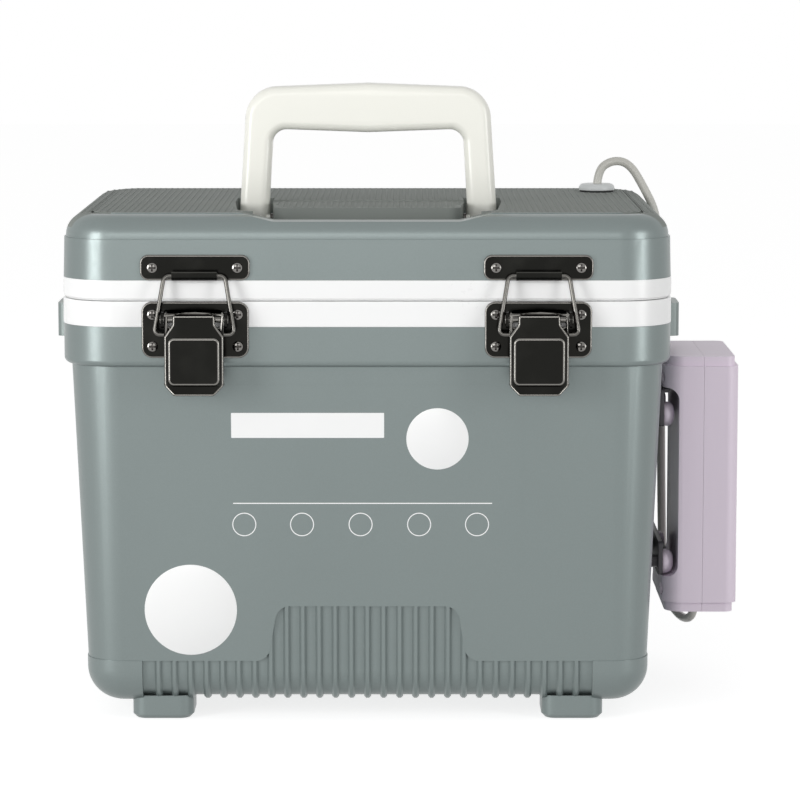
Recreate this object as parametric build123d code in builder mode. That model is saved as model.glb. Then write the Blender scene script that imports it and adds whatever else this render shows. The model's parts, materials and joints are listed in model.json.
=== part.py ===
from build123d import *

import os
from math import pi, radians, sin, tan

# Insulated live-bait cooler box with a battery air pump on its right side.
# Millimetres. X to the right, Y away from the viewer, Z up. The origin lies on
# the ground, under the middle of the box. The front faces -Y.

os.makedirs("parts", exist_ok=True)

HANDS = ((-1, "left"), (1, "right"))

# ---------------------------------------------------------------- box, outside
RIM_W = 294.6  # over the white bands
RIM_D = 208.6
RIM_R = 27.0  # plan corner radius of the bands
FOOT_HEIGHT = 8.5
LOW_ZONE_H = 22.0  # lower, slightly proud zone of the body
BODY_H = 145.0  # tapered zone of the body, up to the collar
COLLAR_H = 19.4
TUB_BAND_H = 12.3  # white band of the tub
LID_BAND_H = 10.1  # white band of the lid
LID_WAIST_H = 19.4  # grey lid wall under the step
SHOULDER_R = 10.5  # rounded shoulder of the lid
SHOULDER_RISE = 0.9  # straight wall under the shoulder
PANEL_RISE = 0.5  # ribbed top panel over the shoulder's ridge
LID_DRAFT = 1.5
LID_STEP = 0.85  # shoulder behind the top of the lid's wall
SEAM_GAP = 0.3  # between the two bands when the lid is shut

COLLAR_INSET = 0.2  # collar behind the bands
BODY_INSET = 3.7  # body behind the bands, just under the collar
BODY_R = 25.0  # plan corner radius there
DRAFT = 2.5  # degrees
LOW_ZONE_PROUD = 0.4
BOTTOM_R = 17.0
COLLAR_EDGE_R = 3.0
SHELL_T = 3.0  # wall of the grey shells
EASED_IN = 0.8  # a hidden corner's bevel, over the radius of the round corner outside it
EASED_OUT = 0.5  # the same where the round corner is on the inside
FOAM_GAP = 0.3  # clearance round each foam block
FACE_GAP = 0.3  # clearance between neighbouring bodies

LOW_ZONE_Z = FOOT_HEIGHT + LOW_ZONE_H
COLLAR_Z = LOW_ZONE_Z + BODY_H
BAND_Z = COLLAR_Z + COLLAR_H
SEAM_Z = BAND_Z + TUB_BAND_H
LID_Z = SEAM_Z + SEAM_GAP
WAIST_Z = SEAM_Z + LID_BAND_H
STEP_Z = WAIST_Z + LID_WAIST_H
RIDGE_Z = STEP_Z + SHOULDER_RISE + SHOULDER_R
TOP_Z = RIDGE_Z + PANEL_RISE
STEP_INSET = COLLAR_INSET + LID_WAIST_H * tan(radians(LID_DRAFT)) + LID_STEP
FRONT_Y = RIM_D / 2  # the front of the bands lies at -FRONT_Y
SIDE_X = RIM_W / 2
BODY_SLOPE = tan(radians(DRAFT))

# ------------------------------------------------------------ tub, ribbed front
RIB_COUNT = 27
RIB_PITCH = 7.84
RIB_R = 1.7  # half width of a rib
RIB_SIDES = 8
RECESS_DEPTH = 1.8
RECESS_HALF_W = 109.7
RECESS_RISE = 27.2  # the recess's raised middle, over its other part
RECESS_RISE_LOW_X = 48.4
RECESS_RISE_TOP_X = 43.6
RECESS_CORNER_R = 7.0
RECESS_UNDER = 42.0  # how far under the bottom the recess runs

# ----------------------------------------------------------------- tub, inside
LINER_T = 2.2
MOUTH_W = 250.0
MOUTH_D = 166.0
MOUTH_R = 20.0
BASIN_DRAFT = 1.6
BASIN_DEPTH = 180.0
BASIN_FLOOR_R = 10.0
SKIRT_T = 2.6
RIM_PLATE_T = 2.6
LIP_T = 1.8  # upstand of a shell or liner inside the skirt
LIP_ROOT = 4.0
LIP_GAP = 0.1

BASIN_Z = SEAM_Z - BASIN_DEPTH
LIP_INSET = SKIRT_T + LIP_GAP
LIP_Z = SEAM_Z - RIM_PLATE_T - LIP_GAP

# ------------------------------------------------------------------------ feet
FOOT_X = 100.3
FOOT_Y = 70.0
FOOT_W = 30.0
FOOT_D = 32.0
FOOT_R = 7.0
FOOT_EDGE = 1.8

# ------------------------------------------------------------------------- lid
RIDGE_W = 1.6
GROOVE_W = 1.3
GROOVE_DEPTH = 1.0
LID_FLOOR_T = 3.0
LID_LIP_H = 3.0
LID_EDGE_BEVEL = 1.2
PLUG_H = 4.0
PLUG_GAP = 1.6
GASKET_W = 5.0
GASKET_INSET = 9.0  # from the rim's outside to the middle of the gasket
GASKET_DEPTH = 1.7
GASKET_GAP = 0.1

# ---------------------------------------------------------------------- handle
HANDLE_PIVOT_Y = -15.0
HANDLE_T = 15.5
HANDLE_FOOT_X = 64.4  # outer half width at the pivot
HANDLE_CORNER_X = 60.3  # apex of the outer corner, before rounding
HANDLE_CORNER_RISE = 65.0
HANDLE_CROWN_RISE = 67.3  # top of the handle over its pivot
HANDLE_CORNER_R = 16.0
HANDLE_LEG_W = 14.6
HANDLE_GRIP_SIDE_W = 13.1  # from the outer to the inner corner's apex
HANDLE_GRIP_H = 20.5  # grip's height at its ends
HANDLE_GRIP_CROWN = 24.5  # and in its middle
HANDLE_INNER_R = 7.0
HANDLE_EDGE_R = 4.6
HANDLE_BLEND_R = 40.0
HANDLE_BOSS_R = 6.6
HANDLE_BOSS_H = 0.8
HANDLE_PIN_R = 2.0
PIN_PLAY = 0.05  # radial running clearance of every pin
PIN_END_GAP = 0.2

POCKET_GAP = 2.2  # lid pocket round the folded handle
BLOCK_GAP = 1.9
POCKET_FLOOR_GAP = 0.8
POCKET_REAR = 29.0  # rear of the pocket behind the handle's pivot
BEAD_Y = 5.0  # bead across the block, behind the pivot
BEAD_W = 1.4
BEAD_H = 0.5
SCOOP_DROP = 3.0
SCOOP_HALF_W = 45.0
SCOOP_OUT_W = 63.0
SCOOP_R = 9.0

HANDLE_PIVOT_Z = TOP_Z - HANDLE_T / 2

# --------------------------------------------------------------------- latches
LATCH_X = 82.0
PLATE_T = 1.2
STRIKE_W = 52.4
STRIKE_H = 12.1
STRIKE_LIFT = 0.2  # strike plate over the lid's white band
STRIKE_R = 4.0
HOOK_W = 21.6
HOOK_R = 2.6  # inner radius of the rolled hook
HOOK_END_ANGLE = -12.0
BASE_W = 51.2
BASE_H = 27.0
PLATE_R = 5.0
WINDOW_LOW = 14.6  # of the base plate's window, over its lower edge
WINDOW_HIGH = 22.6
EAR_T = 1.2
EAR_R = 3.9
EAR_GAP = 0.4  # ear to lever flange
PIVOT_OUT = 8.2  # lever pivot, out from the rim's front
PIVOT_DROP = 7.9  # and below the seam
BAIL_OUT = 9.0  # bail pivot, out from the rim's front
BAIL_DROP = 14.9
BAIL_R = 1.05
BAIL_LOW_X = 19.2
BAIL_TOP_X = 14.5
BAIL_LOW_BEND_R = 2.4
BAIL_TOP_BEND_R = 3.2
WIRE_SIDES = 8
BAIL_SEAT_SHIFT = 0.3  # wire outwards of the hook's middle
BAIL_SEAT_GAP = 0.15
LEVER_W = 28.2
LEVER_NECK_W = 20.0
LEVER_T = 1.4
LEVER_FACE_OUT = 13.7
LEVER_PAD_W = 24.6
LEVER_PAD_H = 23.0
LEVER_PAD_PROUD = 1.2
LEVER_TOP = 3.8  # over the pivot
LEVER_DROP = 35.6  # lip's end under the pivot
LEVER_LIP_H = 4.6
LEVER_LIP_OUT = 2.6
LEVER_PIN_R = 1.5
LEVER_PIN_HEAD_R = 2.3
LEVER_PIN_HEAD_T = 0.5

STRIKE_Z = WAIST_Z + STRIKE_LIFT
BASE_Z = SEAM_Z - BASE_H
PIVOT_Y = -(FRONT_Y + PIVOT_OUT)
PIVOT_Z = SEAM_Z - PIVOT_DROP
BAIL_Y = -(FRONT_Y + BAIL_OUT)
BAIL_Z = SEAM_Z - BAIL_DROP
HOOK_Y = -(FRONT_Y + PLATE_T + HOOK_R)
HOOK_Z = STRIKE_Z + PLATE_T + HOOK_R
SEAT_Y = HOOK_Y - BAIL_SEAT_SHIFT
SEAT_Z = HOOK_Z - (HOOK_R - BAIL_R - BAIL_SEAT_GAP)
LEVER_FACE_Y = -(FRONT_Y + LEVER_FACE_OUT)
EAR_X = LEVER_W / 2 + EAR_GAP

# ---------------------------------------------------------------------- screws
SCREW_HEAD_R = 2.6
SCREW_HEAD_H = 1.4
SCREW_HEAD_EDGE = 0.6
SCREW_HEAD_SIDES = 12
SCREW_R = 1.4
SCREW_PLAY = 0.05
SCREW_LEN = 8.0
ROD_SIDES = 8  # of shanks, studs and the bosses round them
BOSS_R = 3.0
BOSS_LEN = 9.5

# ---------------------------------------------------------------------- hinges
HINGE_X = 82.0
HINGE_OUT = 6.2  # hinge axis behind the rim
HINGE_R = 4.8
HINGE_PIN_R = 2.0
HINGE_MID_W = 24.0
HINGE_END_W = 12.0
HINGE_PLAY = 0.4
HINGE_LEAF_T = 3.2
HINGE_LEAF_H = 14.0
HINGE_CLEAR = 0.5  # arm to the bands that it passes

HINGE_Y = FRONT_Y + HINGE_OUT
HINGE_Z = SEAM_Z + SEAM_GAP / 2

# ------------------------------------------------------------------ strap lugs
LUG_OUT = 9.2
LUG_H = 16.7
LUG_LIFT = 5.5  # lug's lower edge over the collar's
LUG_BAR_T = 3.4
LUG_HALF_W = 16.0
LUG_LEG_W = 4.5
LUG_EAR_W = 11.0
LUG_EAR_T = 2.0
LUG_Z = COLLAR_Z + LUG_LIFT

# ------------------------------------------------------------------- hose, fit
HOSE_R = 2.2
HOSE_BORE_R = 1.3
HOSE_SIDES = 8
HOSE_HOLE_GAP = 0.3
GROMMET_X = 118.7
GROMMET_Y = 62.0
GROMMET_R = 9.35
GROMMET_H = 3.3
GROMMET_EDGE_R = 2.4
GROMMET_RING_R = 8.8
GROMMET_RING_H = 1.0
GROMMET_NECK_R = 4.6
GROMMET_NECK_LEN = 10.0
GROMMET_NUT_R = 7.2
GROMMET_NUT_H = 3.0
GROMMET_BORE_GAP = 0.1
HOSE_MEET_DROP = 2.0  # where the two hoses meet, under the lid's top

# ------------------------------------------------------------------------ pump
PUMP_OUT = 37.5  # thickness, outwards
PUMP_SEAM_OUT = 20.15
PUMP_HALF_D = 38.0
PUMP_H = 129.1
PUMP_DROP = 2.5  # top of the pump under the collar
PUMP_WALL = 2.2
PUMP_OUT_R = 6.0
PUMP_IN_R = 10.5
PUMP_END_H = 4.8  # stepped-in ends
PUMP_END_STEP = 1.8
PUMP_SEAM_GAP = 0.1
NOTCH_OUT = 7.9  # depth of the recess towards the box
NOTCH_LOW = 17.6  # over the pump's lower end
NOTCH_HIGH = 16.0  # under its upper end
NOTCH_R = 6.0
WELL_Y = 29.0
WELL_TOP = 11.1
WELL_LOW = 10.7
WELL_R = 3.3
WELL_WALL = 1.8
WELL_DEPTH = 15.2

PUMP_IN_X = SIDE_X
PUMP_OUT_X = PUMP_IN_X + PUMP_OUT
PUMP_SEAM_X = PUMP_IN_X + PUMP_SEAM_OUT
PUMP_TOP_Z = COLLAR_Z - PUMP_DROP
PUMP_LOW_Z = PUMP_TOP_Z - PUMP_H
NOTCH_X = PUMP_IN_X + NOTCH_OUT
NOTCH_LOW_Z = PUMP_LOW_Z + NOTCH_LOW
NOTCH_TOP_Z = PUMP_TOP_Z - NOTCH_HIGH
WELL_FLOOR_X = PUMP_IN_X + WELL_DEPTH

STUD_Y = 28.0
STUD_HIGH = 13.8  # upper studs under the recess's top
STUD_LOW = 6.9  # lower studs over its bottom
STUD_R = 3.2
STUD_THREAD_R = 1.6
STUD_IN = 9.0
STUD_GAP = 0.2
STUD_BOSS_R = 4.0
KNOB_R = 6.1
KNOB_H = 5.3
KNOB_EDGE = 2.4
KNOB_SIDES = 16
BRACKET_T = 2.4
BRACKET_PROUD = 0.6  # bracket's face out of the bands' plane
BRACKET_HALF_D = 35.0
BRACKET_TOP_H = 19.0
BRACKET_LOW_H = 17.2
BRACKET_LIP = 3.0
BRACKET_LIP_H = 2.0
BRACKET_BLOCK_HALF_D = 15.0
BRACKET_BLOCK_H = 11.0

STUD_TOP_Z = NOTCH_TOP_Z - STUD_HIGH
STUD_LOW_Z = NOTCH_LOW_Z + STUD_LOW
BRACKET_X = PUMP_IN_X + BRACKET_PROUD

# ---------------------------------------------------------------- pump, inside
FRAME_T = 1.6
FRAME_HALF_D = 33.0
CRADLE_T = 3.0
CRADLE_Y = 15.0
CELL_R = 7.1
CELL_LEN = 50.0
CELL_PITCH = 15.4
CELL_COUNT = 4
CELL_GAP = 0.2
CELL_TIP_R = 2.6
CELL_TIP_H = 1.0
CELL_SIDES = 16
CONTACT_T = 0.6
MOTOR_R = 9.8
MOTOR_LEN = 20.0
MOTOR_FRONT = 5.0  # motor's front from the case's front
MOTOR_LOW = 29.2  # motor's axis over the pump's lower end
SHAFT_R = 1.0
SHAFT_LEN = 4.0
CRANK_R = 5.6
CRANK_T = 2.2
CRANK_THROW = 1.8
CRANK_PIN_R = 1.0
CRANK_PIN_LEN = 3.0
CRANK_GAP = 0.4
LINK_T = 2.0
LINK_EYE_R = 4.6
LINK_EYE_GAP = 0.35
DIAPHRAGM_R = 6.0
DIAPHRAGM_H = 1.6
HEAD_W = 18.0
HEAD_H = 9.6
HEAD_GAP = 0.7
HEAD_REAR = 51.0  # rear of the head from the case's front
NOZZLE_Y = 7.0
NOZZLE_R = 3.6
NOZZLE_SHOULDER = 4.6  # hose's end over the pump's lower end
NOZZLE_H = 12.0
BARB_R = 1.1
BARB_LEN = 2.6
BARB_BORE_R = 0.7
SWITCH_Y = 20.0
SWITCH_RISE = 38.0
SWITCH_TRAVEL = 5.0
SWITCH_KNOB = 6.0
SWITCH_KNOB_H = 1.1
SWITCH_RECESS_W = 10.0
SWITCH_RECESS_H = 16.0
SWITCH_RECESS_DEPTH = 1.3
SWITCH_STEM = 3.0
SWITCH_SLOT_GAP = 0.3
SWITCH_BODY_DEPTH = 4.2

# ------------------------------------------------------------------- air stone
STONE_X = 84.0
STONE_Y = 22.0
STONE_R = 8.0
STONE_LEN = 30.0
STONE_EDGE = 1.6


def rim_block(low, high, inset):
    """An upright block with the rim's outline, moved in by inset."""
    with BuildPart() as block:
        with BuildSketch(Plane.XY.offset(low)):
            RectangleRounded(RIM_W - 2 * inset, RIM_D - 2 * inset, RIM_R - inset)
        extrude(amount=high - low)
    return block.part


def front_rods(spots, radius, start, end):
    """Rods square to the front at (x, z) spots, from one depth behind the rim to another."""
    with BuildPart() as rods:
        with BuildSketch(Plane.XZ.offset(FRONT_Y - start)):
            with Locations(*spots):
                RegularPolygon(radius, ROD_SIDES)
        extrude(amount=start - end)
    return rods.part


def side_rods(side, spots, radius, start, end):
    """Rods square to one side at (y, z) spots, from one depth inside the rim to another."""
    with BuildPart() as rods:
        with BuildSketch(Plane.YZ.offset(side * (SIDE_X - start))):
            with Locations(*spots):
                RegularPolygon(radius, ROD_SIDES)
        extrude(amount=side * (start - end))
    return rods.part


# Where screws and studs enter the walls
STRIKE_SPOTS = [
    (side * LATCH_X + end * (STRIKE_W / 2 - PLATE_R - 0.9), STRIKE_Z + STRIKE_H / 2)
    for side, hand in HANDS
    for end in (-1, 1)
]
BASE_SPOTS = [
    (side * LATCH_X + end * (BASE_W / 2 - PLATE_R - 0.2), BASE_Z + rise)
    for side, hand in HANDS
    for end in (-1, 1)
    for rise in (PLATE_R + 0.6, BASE_H - PLATE_R - 1.1)
]
LUG_SPOTS = [(end * (LUG_HALF_W + LUG_EAR_W / 2), LUG_Z + LUG_H / 2 - 1) for end in (-1, 1)]
STUD_SPOTS = [(end * STUD_Y, z) for end in (-1, 1) for z in (STUD_LOW_Z, STUD_TOP_Z)]


# ------------------------------------------------------------------------- tub
def tub_outside():
    """The tub below its collar."""
    shrink = BODY_H * BODY_SLOPE - LOW_ZONE_PROUD
    top_w = RIM_W - 2 * BODY_INSET
    top_d = RIM_D - 2 * BODY_INSET
    with BuildPart() as form:
        with BuildSketch(Plane.XY.offset(COLLAR_Z)):
            RectangleRounded(top_w, top_d, BODY_R)
        extrude(amount=-BODY_H, taper=DRAFT)
        with BuildSketch(Plane.XY.offset(LOW_ZONE_Z)):
            RectangleRounded(top_w - 2 * shrink, top_d - 2 * shrink, BODY_R - shrink)
        extrude(amount=-LOW_ZONE_H)
        fillet(form.faces().sort_by(Axis.Z)[0].edges(), BOTTOM_R)
    return form.part


def eased(width, depth, bevel):
    """The plan of a hidden form: a rectangle with bevelled corners."""
    with BuildSketch() as plan:
        Rectangle(width, depth)
        chamfer(plan.vertices(), bevel)
    return plan.sketch


def tub_room(inset):
    """The room inside the grey tub, with its walls moved in by inset. Its corners are bevelled."""
    top_w = RIM_W - 2 * (BODY_INSET + inset)
    top_d = RIM_D - 2 * (BODY_INSET + inset)
    with BuildPart() as room:
        with BuildSketch(Plane.XY.offset(COLLAR_Z)):
            add(eased(top_w, top_d, EASED_IN * (BODY_R - inset)))
        extrude(amount=inset - BODY_H - LOW_ZONE_H, taper=DRAFT)
        chamfer(room.faces().sort_by(Axis.Z)[0].edges(), EASED_IN * (BOTTOM_R - inset))
        add(rim_block(COLLAR_Z - 1, COLLAR_Z + inset + 1, BODY_INSET + inset))
        add(rim_block(COLLAR_Z + inset, BAND_Z - LIP_ROOT, COLLAR_INSET + inset))
    return room.part


def ribbed_section():
    """Section of the front's recess: a band less its ribs, half octagons. Y runs outwards."""
    with BuildSketch() as section:
        Rectangle(2 * RECESS_HALF_W, 3 * RECESS_DEPTH, align=(Align.CENTER, Align.MIN))
        with GridLocations(RIB_PITCH, 1, RIB_COUNT, 1):
            RegularPolygon(
                RIB_R, RIB_SIDES, major_radius=False, rotation=180 / RIB_SIDES, mode=Mode.SUBTRACT
            )
    return section.sketch


def front_recess():
    """What the moulding leaves out of the front: a recess less its ribs.

    It runs up into a raised middle, and down round the bottom edge.
    """
    floor_y = BODY_INSET + RECESS_DEPTH + BODY_H * BODY_SLOPE - FRONT_Y
    bend = BOTTOM_R - RECESS_DEPTH - LOW_ZONE_PROUD
    under_z = FOOT_HEIGHT + RECESS_DEPTH + LOW_ZONE_PROUD
    section = ribbed_section()
    with BuildPart() as middle:
        with BuildSketch(Plane((0, floor_y, LOW_ZONE_Z), x_dir=(-1, 0, 0), z_dir=(0, 0, 1))):
            add(section)
        extrude(amount=RECESS_RISE + RECESS_DEPTH, dir=(0, -BODY_SLOPE, 1))
        with BuildSketch(Plane.XZ.offset(FRONT_Y)):
            with BuildLine():
                half = FilletPolyline(
                    (0, LOW_ZONE_Z + RECESS_RISE),
                    (RECESS_RISE_TOP_X, LOW_ZONE_Z + RECESS_RISE),
                    (RECESS_RISE_LOW_X, LOW_ZONE_Z),
                    (RECESS_HALF_W, LOW_ZONE_Z),
                    radius=RECESS_CORNER_R,
                )
                Polyline(half @ 1, (RECESS_HALF_W, LOW_ZONE_Z - 1), (0, LOW_ZONE_Z - 1))
                mirror(about=Plane.YZ)
            make_face()
        extrude(amount=-FRONT_Y, mode=Mode.INTERSECT)
    with BuildPart() as recess:
        with BuildLine(Plane.YZ) as path:
            Line((floor_y, LOW_ZONE_Z), (floor_y, under_z + bend))
            CenterArc((floor_y + bend, under_z + bend), bend, 180, 90)
            Line((floor_y + bend, under_z), (floor_y + RECESS_UNDER, under_z))
        with BuildSketch(Plane((0, floor_y, LOW_ZONE_Z), x_dir=(1, 0, 0), z_dir=(0, 0, -1))):
            add(section)
        sweep(path=path.wires()[0])
        add(middle.part)
    return recess.part


def feet():
    """The four feet, from the ground up into the bottom."""
    with BuildPart() as blocks:
        with BuildSketch():
            with GridLocations(2 * FOOT_X, 2 * FOOT_Y, 2, 2):
                RectangleRounded(FOOT_W, FOOT_D, FOOT_R)
        extrude(amount=FOOT_HEIGHT + SHELL_T)
        chamfer(blocks.faces().filter_by(Plane.XY).group_by(Axis.Z)[0].edges(), FOOT_EDGE)
    return blocks.part


def tub_bosses(extra):
    """The shell's inner bosses for latch, lug and pump screws, thickened by extra."""
    with BuildPart() as bosses:
        add(front_rods(BASE_SPOTS, BOSS_R + extra, LIP_INSET, BOSS_LEN + extra))
        for side, hand in HANDS:
            add(side_rods(side, LUG_SPOTS, BOSS_R + extra, LIP_INSET, BOSS_LEN + extra))
    return bosses.part


def stud_bosses(extra):
    """The shell's inner bosses for the pump's studs, thickened by extra."""
    with BuildPart() as bosses:
        for spot in STUD_SPOTS:
            wall = BODY_INSET + (COLLAR_Z - spot[1]) * BODY_SLOPE
            end = wall + SHELL_T + STUD_IN + extra
            add(side_rods(1, [spot], STUD_BOSS_R + extra, wall + SHELL_T / 2, end))
    return bosses.part


def basin():
    """The basin's inside."""
    with BuildPart() as form:
        with BuildSketch(Plane.XY.offset(SEAM_Z)):
            RectangleRounded(MOUTH_W, MOUTH_D, MOUTH_R)
        extrude(amount=-BASIN_DEPTH, taper=BASIN_DRAFT)
        fillet(form.faces().sort_by(Axis.Z)[0].edges(), BASIN_FLOOR_R)
    return form.part


def basin_outside(grow):
    """The hidden outside of the basin, grown by grow. Its corners are bevelled."""
    with BuildPart() as form:
        with BuildSketch(Plane.XY.offset(SEAM_Z)):
            add(eased(MOUTH_W + 2 * grow, MOUTH_D + 2 * grow, EASED_OUT * (MOUTH_R + grow)))
        extrude(amount=-grow - BASIN_DEPTH, taper=BASIN_DRAFT)
        chamfer(form.faces().sort_by(Axis.Z)[0].edges(), EASED_OUT * (BASIN_FLOOR_R + grow))
    return form.part


def hinge_arm(up):
    """A hinge arm's outline in YZ: a leaf on the wall, and the eye round the pin.

    up is 1 for the lid's arm and -1 for the tub's.
    """
    wall_z = WAIST_Z + FACE_GAP if up > 0 else BAND_Z - FACE_GAP
    leaf_low = (FRONT_Y - SHELL_T / 2, wall_z)
    with BuildSketch() as arm:
        with BuildLine():
            Line(leaf_low, (FRONT_Y + HINGE_LEAF_T, wall_z))
            Line(leaf_low, (FRONT_Y - SHELL_T / 2, wall_z + up * HINGE_LEAF_H))
            Line(
                (FRONT_Y - SHELL_T / 2, wall_z + up * HINGE_LEAF_H),
                (FRONT_Y + HINGE_LEAF_T, wall_z + up * HINGE_LEAF_H),
            )
            CenterArc((HINGE_Y, HINGE_Z), HINGE_R, 0, 360)
        make_hull()
        with BuildLine():
            Polyline(
                (FRONT_Y - SHELL_T, wall_z),
                (FRONT_Y + HINGE_CLEAR, wall_z),
                (FRONT_Y + HINGE_CLEAR, HINGE_Z - up * 2 * HINGE_R),
                (FRONT_Y - SHELL_T, HINGE_Z - up * 2 * HINGE_R),
                close=True,
            )
        make_face(mode=Mode.SUBTRACT)
        with Locations((HINGE_Y, HINGE_Z)):
            Circle(HINGE_PIN_R + PIN_PLAY, mode=Mode.SUBTRACT)
    return arm.sketch


# ------------------------------------------------------------------ lid, forms
def lid_outside():
    """The grey lid's outside without its pocket."""
    with BuildPart() as form:
        with BuildSketch(Plane.XY.offset(WAIST_Z)):
            RectangleRounded(
                RIM_W - 2 * COLLAR_INSET, RIM_D - 2 * COLLAR_INSET, RIM_R - COLLAR_INSET
            )
        extrude(amount=LID_WAIST_H, taper=LID_DRAFT)
        with BuildSketch(Plane.XY.offset(STEP_Z - 1)):
            RectangleRounded(RIM_W - 2 * STEP_INSET, RIM_D - 2 * STEP_INSET, RIM_R - STEP_INSET)
        extrude(amount=RIDGE_Z - STEP_Z + 1)
        fillet(form.faces().sort_by(Axis.Z)[-1].edges(), SHOULDER_R)
    return form.part


def arch_face(foot_x, corner_x, corner_rise, crown_rise, low, corner_r):
    """The face under an arch: legs down to the level low, a rounded corner, a crown."""
    with BuildSketch() as face:
        with BuildLine():
            half = FilletPolyline(
                (0, crown_rise),
                (corner_x, corner_rise),
                (foot_x, 0),
                (foot_x, low),
                radius=[corner_r, HANDLE_BLEND_R],
            )
            Line(half @ 1, (0, low))
            mirror(about=Plane.YZ)
        make_face()
    return face.sketch


def handle_outside(grow, low):
    """The handle's outer outline grown by grow. Y runs from the pivot to the crown."""
    return arch_face(
        HANDLE_FOOT_X + grow,
        HANDLE_CORNER_X + grow,
        HANDLE_CORNER_RISE + grow,
        HANDLE_CROWN_RISE + grow,
        low,
        HANDLE_CORNER_R + grow,
    )


def handle_inside(shrink, low):
    """The handle's finger opening, shrunk by shrink."""
    return arch_face(
        HANDLE_FOOT_X - HANDLE_LEG_W - shrink,
        HANDLE_CORNER_X - HANDLE_GRIP_SIDE_W - shrink,
        HANDLE_CORNER_RISE - HANDLE_GRIP_H - shrink,
        HANDLE_CROWN_RISE - HANDLE_GRIP_CROWN - shrink,
        low,
        HANDLE_INNER_R - shrink / 2,
    )


def pocket(grow):
    """The lid's pocket for the folded handle, with its walls moved out by grow."""
    floor_z = HANDLE_PIVOT_Z - HANDLE_T / 2 - POCKET_FLOOR_GAP - grow
    above = Plane((0, HANDLE_PIVOT_Y, TOP_Z + 1), x_dir=(1, 0, 0), z_dir=(0, 0, -1))
    outside = handle_outside(POCKET_GAP + grow, -POCKET_REAR - grow)
    inside = handle_inside(BLOCK_GAP + grow, -POCKET_REAR - grow - 1)
    with BuildPart() as room:
        with BuildSketch(above):
            add(outside)
            add(inside, mode=Mode.SUBTRACT)
        extrude(amount=TOP_Z + 1 - floor_z)
    return room.part


def scoop(grow):
    """The lowered front lip of the lid, for the fingers, with its walls moved by grow."""
    low_z = RIDGE_Z - SCOOP_DROP - grow
    with BuildPart() as cut:
        with BuildSketch(Plane.XZ.offset(FRONT_Y)):
            with BuildLine():
                half = FilletPolyline(
                    (0, low_z),
                    (SCOOP_HALF_W, low_z),
                    (SCOOP_OUT_W, RIDGE_Z + 1 - grow / 2),
                    (SCOOP_OUT_W + SCOOP_R * 2, RIDGE_Z + 1.1),
                    radius=SCOOP_R,
                )
                Polyline(half @ 1, (SCOOP_OUT_W + SCOOP_R * 2, TOP_Z + 3), (0, TOP_Z + 3))
                mirror(about=Plane.YZ)
            make_face()
        extrude(amount=-(FRONT_Y + HANDLE_PIVOT_Y - HANDLE_CORNER_RISE))
    return cut.part


def lid_room(inset):
    """The room inside the grey lid, with its walls moved in by inset. Its corners are bevelled."""
    room_inset = STEP_INSET + inset
    bevel = EASED_IN * (RIM_R - room_inset)
    with BuildPart() as room:
        with BuildSketch(Plane.XY.offset(WAIST_Z)):
            add(eased(RIM_W - 2 * room_inset, RIM_D - 2 * room_inset, bevel))
        extrude(amount=RIDGE_Z - inset - WAIST_Z)
        chamfer(room.faces().sort_by(Axis.Z)[-1].edges(), EASED_IN * (SHOULDER_R - inset))
        add(rim_block(WAIST_Z, WAIST_Z + LID_LIP_H + 1, COLLAR_INSET + inset))
        add(pocket(inset), mode=Mode.SUBTRACT)
        add(scoop(inset), mode=Mode.SUBTRACT)
    return room.part


def top_rod(radius, low, high):
    """An upright rod on the hose's axis through the lid."""
    with BuildPart() as rod:
        with BuildSketch(Plane.XY.offset(low)):
            with Locations((GROMMET_X, GROMMET_Y)):
                Circle(radius)
        extrude(amount=high - low)
    return rod.part


def handle_rods(radius, inner_x, outer_x):
    """The two rods of the handle's pivot, from one half width to another."""
    with BuildPart() as rods:
        for side, hand in HANDS:
            with BuildSketch(Plane.YZ.offset(side * inner_x)):
                with Locations((HANDLE_PIVOT_Y, HANDLE_PIVOT_Z)):
                    Circle(radius)
            extrude(amount=side * (outer_x - inner_x))
    return rods.part


# ------------------------------------------------------------------------- tub
with BuildPart() as collar:
    add(rim_block(COLLAR_Z, BAND_Z, COLLAR_INSET))
    fillet(collar.faces().sort_by(Axis.Z)[0].edges(), COLLAR_EDGE_R)

with BuildPart() as tub_shell:
    add(tub_outside())
    add(collar.part)
    add(rim_block(BAND_Z - LIP_ROOT, LIP_Z, LIP_INSET))
    add(front_recess(), mode=Mode.SUBTRACT)
    add(feet())
    add(tub_room(SHELL_T), mode=Mode.SUBTRACT)
    add(rim_block(BAND_Z - LIP_ROOT - 1, LIP_Z + 1, LIP_INSET + LIP_T), mode=Mode.SUBTRACT)
    add(tub_bosses(0))
    add(stud_bosses(0))
    add(front_rods(BASE_SPOTS, SCREW_R + SCREW_PLAY, -1, BOSS_LEN - 1), mode=Mode.SUBTRACT)
    for side, hand in HANDS:
        screw_holes = side_rods(side, LUG_SPOTS, SCREW_R + SCREW_PLAY, -1, BOSS_LEN - 1)
        add(screw_holes, mode=Mode.SUBTRACT)
    for spot in STUD_SPOTS:
        wall = BODY_INSET + (COLLAR_Z - spot[1]) * BODY_SLOPE
        stud_hole = side_rods(1, [spot], STUD_THREAD_R + SCREW_PLAY, 0, wall + STUD_IN)
        add(stud_hole, mode=Mode.SUBTRACT)
    for side, hand in HANDS:
        for end in (-1, 1):
            mid = side * HINGE_X + end * ((HINGE_MID_W + HINGE_END_W) / 2 + HINGE_PLAY)
            with BuildSketch(Plane.YZ.offset(mid - HINGE_END_W / 2)):
                add(hinge_arm(-1))
            extrude(amount=HINGE_END_W)
tub_shell.part.label = "tub_shell"
export_step(tub_shell.part, "parts/tub_shell.step")

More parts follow.
